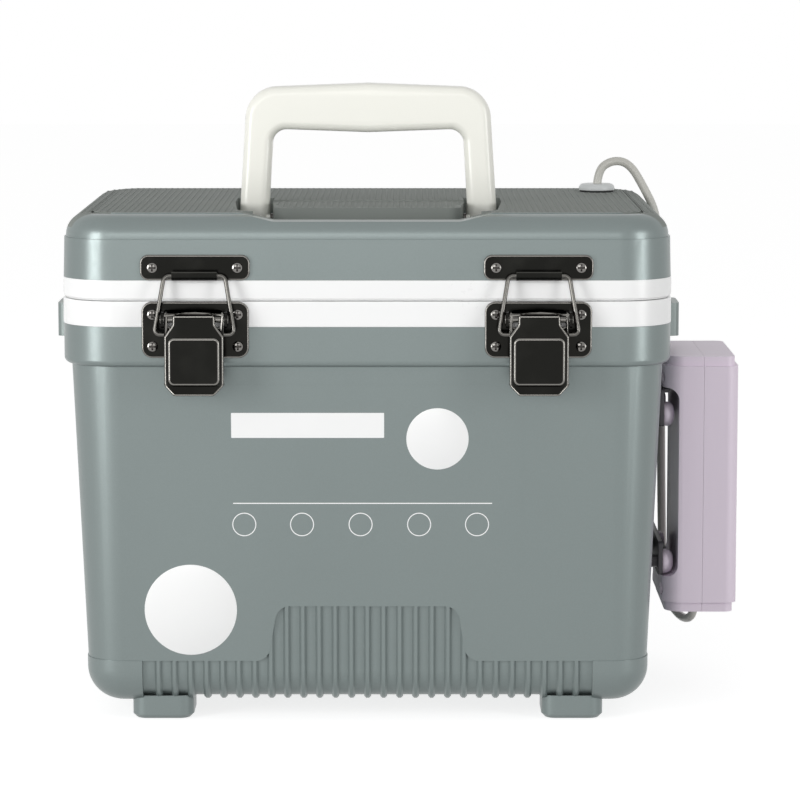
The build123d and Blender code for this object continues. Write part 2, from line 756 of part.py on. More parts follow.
with BuildPart() as tub_liner:
    add(rim_block(BAND_Z, SEAM_Z, 0))
    add(rim_block(BAND_Z - 1, SEAM_Z - RIM_PLATE_T, SKIRT_T), mode=Mode.SUBTRACT)
    add(basin_outside(LINER_T))
    add(basin(), mode=Mode.SUBTRACT)
    add(front_rods(BASE_SPOTS, SCREW_R + SCREW_PLAY, -1, SKIRT_T + 1), mode=Mode.SUBTRACT)
tub_liner.part.label = "tub_liner"
export_step(tub_liner.part, "parts/tub_liner.step")

with BuildPart() as tub_foam:
    add(tub_room(SHELL_T + FOAM_GAP))
    foam_top = SEAM_Z - RIM_PLATE_T - FOAM_GAP
    add(rim_block(BAND_Z - LIP_ROOT - 1, foam_top, LIP_INSET + LIP_T + FOAM_GAP))
    add(basin_outside(LINER_T + FOAM_GAP), mode=Mode.SUBTRACT)
    add(tub_bosses(FOAM_GAP), mode=Mode.SUBTRACT)
    add(stud_bosses(FOAM_GAP), mode=Mode.SUBTRACT)
tub_foam.part.label = "tub_foam"
export_step(tub_foam.part, "parts/tub_foam.step")

# ------------------------------------------------------------------------- lid
with BuildPart() as lid_shell:
    add(lid_outside())
    groove = STEP_INSET + SHOULDER_R + RIDGE_W
    panel = groove + GROOVE_W
    with BuildSketch(Plane.XY.offset(RIDGE_Z)):
        RectangleRounded(RIM_W - 2 * groove, RIM_D - 2 * groove, RIM_R - groove)
    extrude(amount=-GROOVE_DEPTH, mode=Mode.SUBTRACT)
    with BuildSketch(Plane.XY.offset(RIDGE_Z - GROOVE_DEPTH)):
        RectangleRounded(RIM_W - 2 * panel, RIM_D - 2 * panel, RIM_R - groove)
    extrude(amount=TOP_Z - RIDGE_Z + GROOVE_DEPTH)
    with BuildSketch(Plane.XY.offset(TOP_Z)):
        with Locations((0, HANDLE_PIVOT_Y + BEAD_Y)):
            Rectangle(2 * (HANDLE_FOOT_X - HANDLE_LEG_W - BLOCK_GAP), BEAD_W)
    extrude(amount=BEAD_H)
    add(pocket(0), mode=Mode.SUBTRACT)
    add(scoop(0), mode=Mode.SUBTRACT)
    add(lid_room(SHELL_T), mode=Mode.SUBTRACT)
    add(front_rods(STRIKE_SPOTS, BOSS_R, LIP_INSET, BOSS_LEN))
    add(front_rods(STRIKE_SPOTS, SCREW_R + SCREW_PLAY, -1, BOSS_LEN - 1), mode=Mode.SUBTRACT)
    pin_inner = HANDLE_FOOT_X - HANDLE_LEG_W - BLOCK_GAP - SHELL_T
    pin_outer = HANDLE_FOOT_X + POCKET_GAP + SHELL_T
    add(handle_rods(HANDLE_PIN_R + PIN_PLAY, pin_inner, pin_outer), mode=Mode.SUBTRACT)
    add(top_rod(GROMMET_NECK_R + GROMMET_BORE_GAP, STEP_Z, TOP_Z + 1), mode=Mode.SUBTRACT)
    for side, hand in HANDS:
        with BuildSketch(Plane.YZ.offset(side * HINGE_X - HINGE_MID_W / 2)):
            add(hinge_arm(1))
        extrude(amount=HINGE_MID_W)
lid_shell.part.label = "lid_shell"
export_step(lid_shell.part, "parts/lid_shell.step")

with BuildPart() as lid_liner:
    add(rim_block(LID_Z, WAIST_Z, 0))
    chamfer(lid_liner.faces().sort_by(Axis.Z)[0].edges(), LID_EDGE_BEVEL)
    add(rim_block(LID_Z + 1, WAIST_Z + LID_LIP_H, COLLAR_INSET + SHELL_T + LIP_GAP))
    with BuildSketch(Plane.XY.offset(LID_Z + 1)):
        RectangleRounded(MOUTH_W - 2 * PLUG_GAP, MOUTH_D - 2 * PLUG_GAP, MOUTH_R - PLUG_GAP)
    extrude(amount=-PLUG_H - 1)
    lip_inset = COLLAR_INSET + SHELL_T + LIP_GAP + LIP_T
    add(rim_block(LID_Z + LID_FLOOR_T, WAIST_Z + LID_LIP_H + 1, lip_inset), mode=Mode.SUBTRACT)
    plug_room = PLUG_GAP + LID_FLOOR_T
    with BuildSketch(Plane.XY.offset(LID_Z - PLUG_H + LID_FLOOR_T)):
        RectangleRounded(MOUTH_W - 2 * plug_room, MOUTH_D - 2 * plug_room, MOUTH_R - plug_room)
    extrude(amount=PLUG_H + 1, mode=Mode.SUBTRACT)
    groove_out = GASKET_INSET - GASKET_W / 2
    groove_in = GASKET_INSET + GASKET_W / 2
    add(rim_block(LID_Z, LID_Z + GASKET_DEPTH, groove_out), mode=Mode.SUBTRACT)
    add(rim_block(LID_Z, LID_Z + GASKET_DEPTH, groove_in))
    with BuildSketch(Plane.XY.offset(LID_Z - 1)):
        RectangleRounded(MOUTH_W - 2 * plug_room, MOUTH_D - 2 * plug_room, MOUTH_R - plug_room)
    extrude(amount=LID_FLOOR_T + 2, mode=Mode.SUBTRACT)
    with BuildSketch(Plane.XY.offset(LID_Z - PLUG_H)):
        RectangleRounded(MOUTH_W - 2 * PLUG_GAP, MOUTH_D - 2 * PLUG_GAP, MOUTH_R - PLUG_GAP)
    extrude(amount=LID_FLOOR_T)
    hose_hole = top_rod(HOSE_R + HOSE_HOLE_GAP, LID_Z - PLUG_H - 1, LID_Z + LID_FLOOR_T + 1)
    add(hose_hole, mode=Mode.SUBTRACT)
lid_liner.part.label = "lid_liner"
export_step(lid_liner.part, "parts/lid_liner.step")

with BuildPart() as lid_foam:
    add(lid_room(SHELL_T + FOAM_GAP))
    foam_inset = lip_inset + FOAM_GAP
    with BuildSketch(Plane.XY.offset(WAIST_Z)):
        Rectangle(RIM_W, RIM_D)
        foam_w = RIM_W - 2 * foam_inset
        RectangleRounded(foam_w, RIM_D - 2 * foam_inset, RIM_R - foam_inset, mode=Mode.SUBTRACT)
    extrude(amount=LID_LIP_H + FOAM_GAP, mode=Mode.SUBTRACT)
    add(rim_block(LID_Z + LID_FLOOR_T + FOAM_GAP, WAIST_Z + 1, foam_inset))
    add(front_rods(STRIKE_SPOTS, BOSS_R + FOAM_GAP, 0, BOSS_LEN + FOAM_GAP), mode=Mode.SUBTRACT)
    add(top_rod(HOSE_R + HOSE_HOLE_GAP, LID_Z, TOP_Z), mode=Mode.SUBTRACT)
    nut_low = TOP_Z - GROMMET_NECK_LEN - FOAM_GAP
    add(top_rod(GROMMET_NUT_R + FOAM_GAP, nut_low, TOP_Z), mode=Mode.SUBTRACT)
lid_foam.part.label = "lid_foam"
export_step(lid_foam.part, "parts/lid_foam.step")

with BuildPart() as gasket:
    add(rim_block(SEAM_Z + GASKET_GAP, LID_Z + GASKET_DEPTH, groove_out + GASKET_GAP))
    add(rim_block(SEAM_Z, LID_Z + GASKET_DEPTH + 1, groove_in - GASKET_GAP), mode=Mode.SUBTRACT)
gasket.part.label = "gasket"
export_step(gasket.part, "parts/gasket.step")

# ---------------------------------------------------------------------- handle
with BuildPart() as handle:
    with BuildSketch(Plane.XZ.offset(-HANDLE_PIVOT_Y - HANDLE_T / 2)):
        with Locations((0, HANDLE_PIVOT_Z)):
            add(handle_outside(0, -HANDLE_T))
            add(handle_inside(0, -HANDLE_T - 1), mode=Mode.SUBTRACT)
    extrude(amount=HANDLE_T)
    with BuildSketch(Plane.YZ.offset(-HANDLE_FOOT_X - 1)):
        with Locations((HANDLE_PIVOT_Y, HANDLE_PIVOT_Z)):
            Circle(HANDLE_T / 2)
            Rectangle(HANDLE_T, HANDLE_CROWN_RISE + 1, align=(Align.CENTER, Align.MIN))
    extrude(amount=2 * HANDLE_FOOT_X + 2, mode=Mode.INTERSECT)
    flat_edges = handle.faces().filter_by(Axis.Y).edges().filter_by(Axis.X, reverse=True)
    eye_edges = handle.edges().filter_by(lambda edge: edge.geom_type == GeomType.CIRCLE
                                         and abs(edge.radius - HANDLE_T / 2) < 0.01)
    fillet(flat_edges + eye_edges, HANDLE_EDGE_R)
    boss_x = HANDLE_FOOT_X - HANDLE_LEG_W
    add(handle_rods(HANDLE_BOSS_R, boss_x - HANDLE_BOSS_H, boss_x + 1))
    add(handle_rods(HANDLE_PIN_R + PIN_PLAY, boss_x - 2, HANDLE_FOOT_X + 1), mode=Mode.SUBTRACT)
handle.part.label = "handle"
export_step(handle.part, "parts/handle.step")

for side, hand in HANDS:
    with BuildPart() as handle_pin:
        with BuildSketch(Plane.YZ.offset(side * (pin_inner + PIN_END_GAP))):
            with Locations((HANDLE_PIVOT_Y, HANDLE_PIVOT_Z)):
                Circle(HANDLE_PIN_R)
        extrude(amount=side * (pin_outer - pin_inner - 2 * PIN_END_GAP))
    handle_pin.part.label = f"handle_pin_{hand}"
    export_step(handle_pin.part, f"parts/handle_pin_{hand}.step")


# --------------------------------------------------------------------- hinges
for side, hand in HANDS:
    half_pin = HINGE_MID_W / 2 + HINGE_PLAY + HINGE_END_W
    with BuildPart() as hinge_pin:
        with BuildSketch(Plane.YZ.offset(side * HINGE_X - half_pin)):
            with Locations((HINGE_Y, HINGE_Z)):
                Circle(HINGE_PIN_R)
        extrude(amount=2 * half_pin)
        chamfer(hinge_pin.edges().filter_by(GeomType.CIRCLE), HINGE_PIN_R / 5)
    hinge_pin.part.label = f"hinge_pin_{hand}"
    export_step(hinge_pin.part, f"parts/hinge_pin_{hand}.step")


# -------------------------------------------------------------------- latches
def screw(plane):
    """A screw: its low bevelled head stands on the plane, and its shank runs into the wall."""
    with BuildPart() as one:
        with BuildSketch(plane):
            RegularPolygon(SCREW_HEAD_R, SCREW_HEAD_SIDES)
        extrude(amount=SCREW_HEAD_H)
        chamfer(one.faces().sort_by(Axis(plane.origin, plane.z_dir))[-1].edges(), SCREW_HEAD_EDGE)
        with BuildSketch(plane):
            RegularPolygon(SCREW_R, ROD_SIDES)
        extrude(amount=-SCREW_LEN)
    return one.part


def front_plane(x, out, z):
    """A plane facing the viewer, out from the rim's front."""
    return Plane((x, -FRONT_Y - out, z), x_dir=(1, 0, 0), z_dir=(0, -1, 0))


for side, hand in HANDS:
    x = side * LATCH_X
    strike_mid_z = STRIKE_Z + STRIKE_H / 2
    with BuildPart() as latch_strike:
        with BuildSketch(front_plane(x, 0, strike_mid_z)):
            RectangleRounded(STRIKE_W, STRIKE_H, STRIKE_R)
        extrude(amount=PLATE_T)
        with BuildSketch(Plane.YZ.offset(x - HOOK_W / 2)):
            with BuildLine():
                inner = CenterArc((HOOK_Y, HOOK_Z), HOOK_R, 0, HOOK_END_ANGLE - 180)
                outer = CenterArc((HOOK_Y, HOOK_Z), HOOK_R + PLATE_T, 0, HOOK_END_ANGLE - 180)
                Line(inner @ 0, outer @ 0)
                Line(inner @ 1, outer @ 1)
            make_face()
        extrude(amount=HOOK_W)
        for spot in STRIKE_SPOTS:
            if abs(spot[0] - x) < STRIKE_W / 2:
                with BuildSketch(front_plane(spot[0], 0, spot[1])):
                    RegularPolygon(SCREW_R + SCREW_PLAY, ROD_SIDES)
                extrude(amount=PLATE_T, mode=Mode.SUBTRACT)
    latch_strike.part.label = f"latch_strike_{hand}"
    export_step(latch_strike.part, f"parts/latch_strike_{hand}.step")

    with BuildPart() as latch_base:
        with BuildSketch(front_plane(x, 0, BASE_Z + BASE_H / 2)):
            RectangleRounded(BASE_W, BASE_H, PLATE_R)
        extrude(amount=PLATE_T)
        with BuildSketch(front_plane(x, 0, BASE_Z + (WINDOW_LOW + WINDOW_HIGH) / 2)):
            SlotOverall(2 * EAR_X, WINDOW_HIGH - WINDOW_LOW)
        extrude(amount=PLATE_T, mode=Mode.SUBTRACT)
        for end in (-1, 1):
            ear_x = x + end * EAR_X + min(end, 0) * EAR_T
            with BuildSketch(Plane.YZ.offset(ear_x)):
                with BuildLine():
                    CenterArc((PIVOT_Y, PIVOT_Z), EAR_R, 0, 360)
                    Line((-FRONT_Y, PIVOT_Z - EAR_R), (-FRONT_Y, PIVOT_Z + EAR_R))
                make_hull()
                with Locations((PIVOT_Y, PIVOT_Z)):
                    Circle(LEVER_PIN_R + PIN_PLAY, mode=Mode.SUBTRACT)
            extrude(amount=EAR_T)
        for spot in BASE_SPOTS:
            if abs(spot[0] - x) < BASE_W / 2:
                with BuildSketch(front_plane(spot[0], 0, spot[1])):
                    RegularPolygon(SCREW_R + SCREW_PLAY, ROD_SIDES)
                extrude(amount=PLATE_T, mode=Mode.SUBTRACT)
    latch_base.part.label = f"latch_base_{hand}"
    export_step(latch_base.part, f"parts/latch_base_{hand}.step")

    with BuildPart() as latch_pin:
        with BuildSketch(Plane.YZ.offset(x - EAR_X - EAR_T - PIN_PLAY)):
            with Locations((PIVOT_Y, PIVOT_Z)):
                Circle(LEVER_PIN_R)
        extrude(amount=2 * (EAR_X + EAR_T + PIN_PLAY))
        for end in (-1, 1):
            with BuildSketch(Plane.YZ.offset(x + end * (EAR_X + EAR_T + PIN_PLAY))):
                with Locations((PIVOT_Y, PIVOT_Z)):
                    Circle(LEVER_PIN_HEAD_R)
            extrude(amount=end * LEVER_PIN_HEAD_T)
    latch_pin.part.label = f"latch_pin_{hand}"
    export_step(latch_pin.part, f"parts/latch_pin_{hand}.step")

    with BuildPart() as latch_lever:
        top_z = PIVOT_Z + LEVER_TOP
        end_z = PIVOT_Z - LEVER_DROP
        flange_low_z = BAIL_Z - 2 * LEVER_T
        back_y = LEVER_FACE_Y + LEVER_T
        pivot_back_y = PIVOT_Y + LEVER_TOP
        bail_back_y = BAIL_Y + LEVER_TOP - 1
        with BuildSketch(Plane.YZ.offset(x - LEVER_W / 2)):
            with BuildLine():
                Polyline(
                    (pivot_back_y, top_z - LEVER_T),
                    (pivot_back_y - LEVER_T, top_z),
                    (LEVER_FACE_Y + LEVER_T, top_z),
                    (LEVER_FACE_Y, top_z - LEVER_T),
                    (LEVER_FACE_Y, end_z + LEVER_LIP_H),
                    (LEVER_FACE_Y - LEVER_LIP_OUT, end_z),
                    (LEVER_FACE_Y - LEVER_LIP_OUT + LEVER_T, end_z),
                    (back_y, end_z + LEVER_LIP_H),
                    (back_y + LEVER_T, flange_low_z - LEVER_PAD_H / 4),
                    (bail_back_y, flange_low_z),
                    close=True,
                )
            make_face()
        extrude(amount=LEVER_W)
        room_low_z = end_z + LEVER_LIP_H + LEVER_T
        with BuildSketch(Plane.YZ.offset(x - LEVER_W / 2 + LEVER_T)):
            with Locations((back_y, room_low_z)):
                Rectangle(LEVER_FACE_OUT, top_z - room_low_z + 1, align=(Align.MIN, Align.MIN))
        extrude(amount=LEVER_W - 2 * LEVER_T, mode=Mode.SUBTRACT)
        with BuildSketch(front_plane(x, LEVER_FACE_OUT - LEVER_T, PIVOT_Z)):
            Rectangle(2 * LEVER_W, 3 * LEVER_DROP)
            with BuildLine():
                half = FilletPolyline(
                    (0, LEVER_TOP),
                    (LEVER_NECK_W / 2, LEVER_TOP),
                    (LEVER_NECK_W / 2, -LEVER_TOP / 2),
                    (LEVER_W / 2, -2 * LEVER_TOP),
                    (LEVER_W / 2, LEVER_LIP_H - LEVER_DROP),
                    (LEVER_W / 2 - LEVER_LIP_H, -LEVER_DROP),
                    (0, -LEVER_DROP),
                    radius=[3, 2, 2, 2, 2],
                )
                mirror(about=Plane.YZ)
            make_face(mode=Mode.SUBTRACT)
        extrude(amount=LEVER_T + 2 * LEVER_LIP_OUT, mode=Mode.SUBTRACT)
        pad_z = end_z + LEVER_LIP_H + LEVER_PAD_H / 2
        with BuildSketch(front_plane(x, LEVER_FACE_OUT - LEVER_T / 2, pad_z)):
            RectangleRounded(LEVER_PAD_W, LEVER_PAD_H, 3)
        extrude(amount=LEVER_T / 2 + LEVER_PAD_PROUD)
        for spot, radius in (((PIVOT_Y, PIVOT_Z), LEVER_PIN_R), ((BAIL_Y, BAIL_Z), BAIL_R)):
            with BuildSketch(Plane.YZ.offset(x - LEVER_W / 2)):
                with Locations(spot):
                    Circle(radius + PIN_PLAY)
            extrude(amount=LEVER_W, mode=Mode.SUBTRACT)
    latch_lever.part.label = f"lever_{hand}"
    export_step(latch_lever.part, f"parts/lever_{hand}.step")

    with BuildPart() as latch_bail:
        rise = Vector(0, SEAT_Y - BAIL_Y, SEAT_Z - BAIL_Z)
        bail_plane = Plane((x, BAIL_Y, BAIL_Z), x_dir=(1, 0, 0), z_dir=Vector(1, 0, 0).cross(rise))
        bail_end_x = LEVER_W / 2 - 1.6 * LEVER_T
        with BuildLine(bail_plane) as wire:
            FilletPolyline(
                (-bail_end_x, 0),
                (-BAIL_LOW_X, 0),
                (-BAIL_TOP_X, rise.length),
                (BAIL_TOP_X, rise.length),
                (BAIL_LOW_X, 0),
                (bail_end_x, 0),
                radius=[BAIL_LOW_BEND_R, BAIL_TOP_BEND_R, BAIL_TOP_BEND_R, BAIL_LOW_BEND_R],
            )
        with BuildSketch(Plane((x - bail_end_x, BAIL_Y, BAIL_Z), z_dir=(-1, 0, 0))):
            RegularPolygon(BAIL_R, WIRE_SIDES)
        sweep(path=wire.wires()[0])
    latch_bail.part.label = f"bail_{hand}"
    export_step(latch_bail.part, f"parts/bail_{hand}.step")

    # ------------------------------------------------------------- strap lugs
    wall_x = side * SIDE_X
    with BuildPart() as strap_lug:
        with BuildSketch(Plane.XY.offset(LUG_Z)):
            with BuildLine():
                half = FilletPolyline(
                    (wall_x, LUG_HALF_W + LUG_EAR_W),
                    (wall_x + side * LUG_EAR_T, LUG_HALF_W + LUG_EAR_W),
                    (wall_x + side * LUG_EAR_T, LUG_HALF_W),
                    (wall_x + side * LUG_OUT, LUG_HALF_W - LUG_LEG_W / 2),
                    (wall_x + side * LUG_OUT, 0),
                    radius=[LUG_EAR_T / 2, LUG_EAR_T, LUG_BAR_T],
                )
                Line(half @ 1, (wall_x, 0))
                Line((wall_x, 0), half @ 0)
            make_face()
            mirror(about=Plane.XZ)
        extrude(amount=LUG_H)
        with BuildSketch(Plane.XY.offset(LUG_Z)):
            slot_out = LUG_OUT - LUG_BAR_T
            with Locations((wall_x + side * slot_out / 2, 0)):
                Rectangle(slot_out, 2 * (LUG_HALF_W - LUG_LEG_W))
        extrude(amount=LUG_H, mode=Mode.SUBTRACT)
        lug_holes = side_rods(side, LUG_SPOTS, SCREW_R + SCREW_PLAY, -LUG_EAR_T - 1, 1)
        add(lug_holes, mode=Mode.SUBTRACT)
    strap_lug.part.label = f"strap_lug_{hand}"
    export_step(strap_lug.part, f"parts/strap_lug_{hand}.step")

with BuildPart() as strike_screws:
    for spot in STRIKE_SPOTS:
        add(screw(front_plane(spot[0], PLATE_T, spot[1])))
strike_screws.part.label = "strike_screws"
export_step(strike_screws.part, "parts/strike_screws.step")

with BuildPart() as base_screws:
    for spot in BASE_SPOTS:
        add(screw(front_plane(spot[0], PLATE_T, spot[1])))
base_screws.part.label = "base_screws"
export_step(base_screws.part, "parts/base_screws.step")

with BuildPart() as lug_screws:
    for side, hand in HANDS:
        for y, z in LUG_SPOTS:
            ear_x = side * (SIDE_X + LUG_EAR_T)
            add(screw(Plane((ear_x, y, z), x_dir=(0, 1, 0), z_dir=(side, 0, 0))))
lug_screws.part.label = "lug_screws"
export_step(lug_screws.part, "parts/lug_screws.step")


# --------------------------------------------------------------------- grommet
def stack(x, y, levels):
    """Rings on an upright axis: (low, high, outer radius, bore radius) each."""
    with BuildPart() as rings:
        for low, high, outer, bore in levels:
            with BuildSketch(Plane.XY.offset(low)):
                with Locations((x, y)):
                    Circle(outer)
                    Circle(bore, mode=Mode.SUBTRACT)
            extrude(amount=high - low)
    return rings.part


HOSE_FIT_R = HOSE_R + GROMMET_BORE_GAP
NECK_LOW_Z = TOP_Z - GROMMET_NECK_LEN
with BuildPart() as grommet:
    ring_top_z = TOP_Z + GROMMET_RING_H
    add(stack(GROMMET_X, GROMMET_Y, [(ring_top_z, ring_top_z + GROMMET_H, GROMMET_R, HOSE_FIT_R)]))
    rims = grommet.faces().sort_by(Axis.Z)[-1].edges().sort_by(SortBy.LENGTH)
    fillet(rims[-1], GROMMET_EDGE_R)
    add(stack(GROMMET_X, GROMMET_Y, [(NECK_LOW_Z, ring_top_z, GROMMET_NECK_R, HOSE_FIT_R)]))
grommet.part.label = "grommet"
export_step(grommet.part, "parts/grommet.step")

with BuildPart() as grommet_ring:
    add(stack(GROMMET_X, GROMMET_Y, [(TOP_Z, ring_top_z, GROMMET_RING_R, GROMMET_NECK_R + PIN_PLAY)]))
grommet_ring.part.label = "grommet_ring"
export_step(grommet_ring.part, "parts/grommet_ring.step")

with BuildPart() as grommet_nut:
    nut_top_z = RIDGE_Z - SHELL_T
    with BuildSketch(Plane.XY.offset(nut_top_z - GROMMET_NUT_H)):
        with Locations((GROMMET_X, GROMMET_Y)):
            RegularPolygon(GROMMET_NUT_R, 6)
            Circle(GROMMET_NECK_R + PIN_PLAY, mode=Mode.SUBTRACT)
    extrude(amount=GROMMET_NUT_H)
grommet_nut.part.label = "grommet_nut"
export_step(grommet_nut.part, "parts/grommet_nut.step")


# ----------------------------------------------------------- pump, its mounting
def side_plane(y, z, x=0.0):
    """A plane facing right, at the given place."""
    return Plane((x, y, z), x_dir=(0, 1, 0), z_dir=(1, 0, 0))


def wall_x(z):
    """Half width of the tub's tapered wall at the height z."""
    return SIDE_X - BODY_INSET - (COLLAR_Z - z) * BODY_SLOPE


with BuildPart() as pump_brackets:
    top_z = NOTCH_TOP_Z - 2 * FACE_GAP
    low_z = NOTCH_LOW_Z + 2 * FACE_GAP
    with BuildSketch(side_plane(0, 0, BRACKET_X)):
        with Locations((0, top_z - BRACKET_TOP_H / 2)):
            RectangleRounded(2 * BRACKET_HALF_D, BRACKET_TOP_H, BRACKET_T)
        with Locations((0, low_z + BRACKET_LOW_H / 2)):
            RectangleRounded(2 * BRACKET_HALF_D, BRACKET_LOW_H, BRACKET_T)
    extrude(amount=-BRACKET_T)
    with BuildSketch(side_plane(0, 0, BRACKET_X)):
        with Locations((0, top_z)):
            lip_w = 2 * (BRACKET_HALF_D - BRACKET_T)
            Rectangle(lip_w, BRACKET_LIP_H, align=(Align.CENTER, Align.MAX))
        with Locations((0, low_z)):
            Rectangle(2 * BRACKET_BLOCK_HALF_D, BRACKET_BLOCK_H, align=(Align.CENTER, Align.MIN))
    extrude(amount=BRACKET_LIP)
    with BuildSketch(side_plane(0, 0, BRACKET_X)):
        with Locations(*STUD_SPOTS):
            RegularPolygon(STUD_THREAD_R + SCREW_PLAY, ROD_SIDES)
    extrude(amount=-BRACKET_T, mode=Mode.SUBTRACT)
pump_brackets.part.label = "pump_brackets"
export_step(pump_brackets.part, "parts/pump_brackets.step")

with BuildPart() as pump_studs:
    for y, z in STUD_SPOTS:
        collar_x = wall_x(z) + STUD_GAP
        thread_x = wall_x(z) - STUD_IN + 1
        with BuildSketch(side_plane(y, z, collar_x)):
            RegularPolygon(STUD_R, ROD_SIDES)
        extrude(amount=BRACKET_X - BRACKET_T - collar_x)
        with BuildSketch(side_plane(y, z, thread_x)):
            RegularPolygon(STUD_THREAD_R, ROD_SIDES)
        extrude(amount=BRACKET_X + KNOB_H / 2 - thread_x)
pump_studs.part.label = "pump_studs"
export_step(pump_studs.part, "parts/pump_studs.step")

with BuildPart() as pump_knobs:
    with BuildSketch(side_plane(0, 0, BRACKET_X)):
        with Locations(*STUD_SPOTS):
            RegularPolygon(KNOB_R, KNOB_SIDES)
    extrude(amount=KNOB_H)
    tops = pump_knobs.faces().filter_by(Plane.YZ).group_by(Axis.X)[-1]
    chamfer(tops.edges(), KNOB_EDGE)
    with BuildSketch(side_plane(0, 0, BRACKET_X)):
        with Locations(*STUD_SPOTS):
            RegularPolygon(STUD_THREAD_R + SCREW_PLAY, ROD_SIDES)
    extrude(amount=KNOB_H / 2, mode=Mode.SUBTRACT)
pump_knobs.part.label = "pump_knobs"
export_step(pump_knobs.part, "parts/pump_knobs.step")


# --------------------------------------------------------------- pump, housing
def pump_outline(inset):
    """The pump's plan outline, moved in by inset. Its corners are rounder towards the box."""
    width = PUMP_OUT - 2 * inset
    with BuildSketch() as outline:
        with Locations((PUMP_IN_X + inset, 0)):
            Rectangle(width, 2 * (PUMP_HALF_D - inset), align=(Align.MIN, Align.CENTER))
        corners = outline.vertices().sort_by(Axis.X)
        fillet(corners[:2], PUMP_IN_R - inset)
        fillet(outline.vertices().sort_by(Axis.X)[-2:], PUMP_OUT_R - inset)
    return outline.sketch


def pump_form(inset):
    """The pump's housing with its stepped-in ends, moved in by inset."""
    with BuildPart() as form:
        with BuildSketch(Plane.XY.offset(PUMP_LOW_Z + PUMP_END_H + inset)):
            add(pump_outline(inset))
        extrude(amount=PUMP_H - 2 * PUMP_END_H - 2 * inset)
        with BuildSketch(Plane.XY.offset(PUMP_LOW_Z + inset)):
            add(pump_outline(PUMP_END_STEP + inset))
        extrude(amount=PUMP_H - 2 * inset)
    return form.part


def pump_notch(grow):
    """The recess of the pump towards the box, with its walls moved out by grow."""
    with BuildPart() as cut:
        with BuildSketch(Plane.XZ.offset(PUMP_HALF_D + 1)) as outline:
            with Locations((NOTCH_X + grow, (NOTCH_LOW_Z + NOTCH_TOP_Z) / 2)):
                height = NOTCH_TOP_Z - NOTCH_LOW_Z + 2 * grow
                Rectangle(2 * NOTCH_OUT, height, align=(Align.MAX, Align.CENTER))
            fillet(outline.vertices().sort_by(Axis.X)[-2:], NOTCH_R + grow)
        extrude(amount=-2 * PUMP_HALF_D - 2)
    return cut.part


WELL_LEVELS = (PUMP_LOW_Z + WELL_LOW, PUMP_TOP_Z - WELL_TOP)
WELL_SPOTS = [(end * WELL_Y, z) for end in (-1, 1) for z in WELL_LEVELS]


def well_rods(radius, low_x, high_x):
    """Rods along X at the case screws."""
    with BuildPart() as rods:
        with BuildSketch(side_plane(0, 0, low_x)):
            with Locations(*WELL_SPOTS):
                RegularPolygon(radius, SCREW_HEAD_SIDES)
        extrude(amount=high_x - low_x)
    return rods.part


SWITCH_Z = PUMP_LOW_Z + SWITCH_RISE
SCREW_HOLE_R = SCREW_R + SCREW_PLAY
WELL_SCREW_X = PUMP_SEAM_X + SCREW_LEN

with BuildPart() as case_room:
    add(pump_form(PUMP_WALL))
    add(pump_notch(PUMP_WALL), mode=Mode.SUBTRACT)
    add(well_rods(WELL_R + WELL_WALL, PUMP_IN_X - 1, PUMP_OUT_X), mode=Mode.SUBTRACT)

with BuildPart() as pump_case:
    add(pump_form(0))
    add(pump_notch(0), mode=Mode.SUBTRACT)
    add(case_room.part, mode=Mode.SUBTRACT)
    add(well_rods(WELL_R, PUMP_IN_X - 1, WELL_FLOOR_X), mode=Mode.SUBTRACT)
    add(well_rods(SCREW_HOLE_R, WELL_FLOOR_X - 1, WELL_SCREW_X), mode=Mode.SUBTRACT)
    with BuildSketch(Plane.XY.offset(PUMP_LOW_Z - 1)):
        with Locations((PUMP_SEAM_X, NOZZLE_Y)):
            Circle(HOSE_R + HOSE_HOLE_GAP)
    extrude(amount=PUMP_WALL + 2, mode=Mode.SUBTRACT)
    with BuildSketch(side_plane(SWITCH_Y, SWITCH_Z, PUMP_OUT_X)):
        RectangleRounded(SWITCH_RECESS_W, SWITCH_RECESS_H, SWITCH_RECESS_DEPTH)
    extrude(amount=-SWITCH_RECESS_DEPTH, mode=Mode.SUBTRACT)
    with BuildSketch(side_plane(SWITCH_Y, SWITCH_Z, PUMP_OUT_X)):
        slot_w = SWITCH_STEM + 2 * SWITCH_SLOT_GAP
        Rectangle(slot_w, slot_w + SWITCH_TRAVEL)
    extrude(amount=-PUMP_WALL - 1, mode=Mode.SUBTRACT)

with BuildPart() as pump_case_inner:
    add(pump_case.part)
    split(bisect_by=Plane.YZ.offset(PUMP_SEAM_X), keep=Keep.BOTTOM)
pump_case_inner.part.label = "pump_case_inner"
export_step(pump_case_inner.part, "parts/pump_case_inner.step")

with BuildPart() as pump_case_outer:
    add(pump_case.part)
    split(bisect_by=Plane.YZ.offset(PUMP_SEAM_X + PUMP_SEAM_GAP), keep=Keep.TOP)
pump_case_outer.part.label = "pump_case_outer"
export_step(pump_case_outer.part, "parts/pump_case_outer.step")

with BuildPart() as pump_case_screws:
    for y, z in WELL_SPOTS:
        add(screw(Plane((WELL_FLOOR_X, y, z), x_dir=(0, 1, 0), z_dir=(-1, 0, 0))))
pump_case_screws.part.label = "pump_case_screws"
export_step(pump_case_screws.part, "parts/pump_case_screws.step")

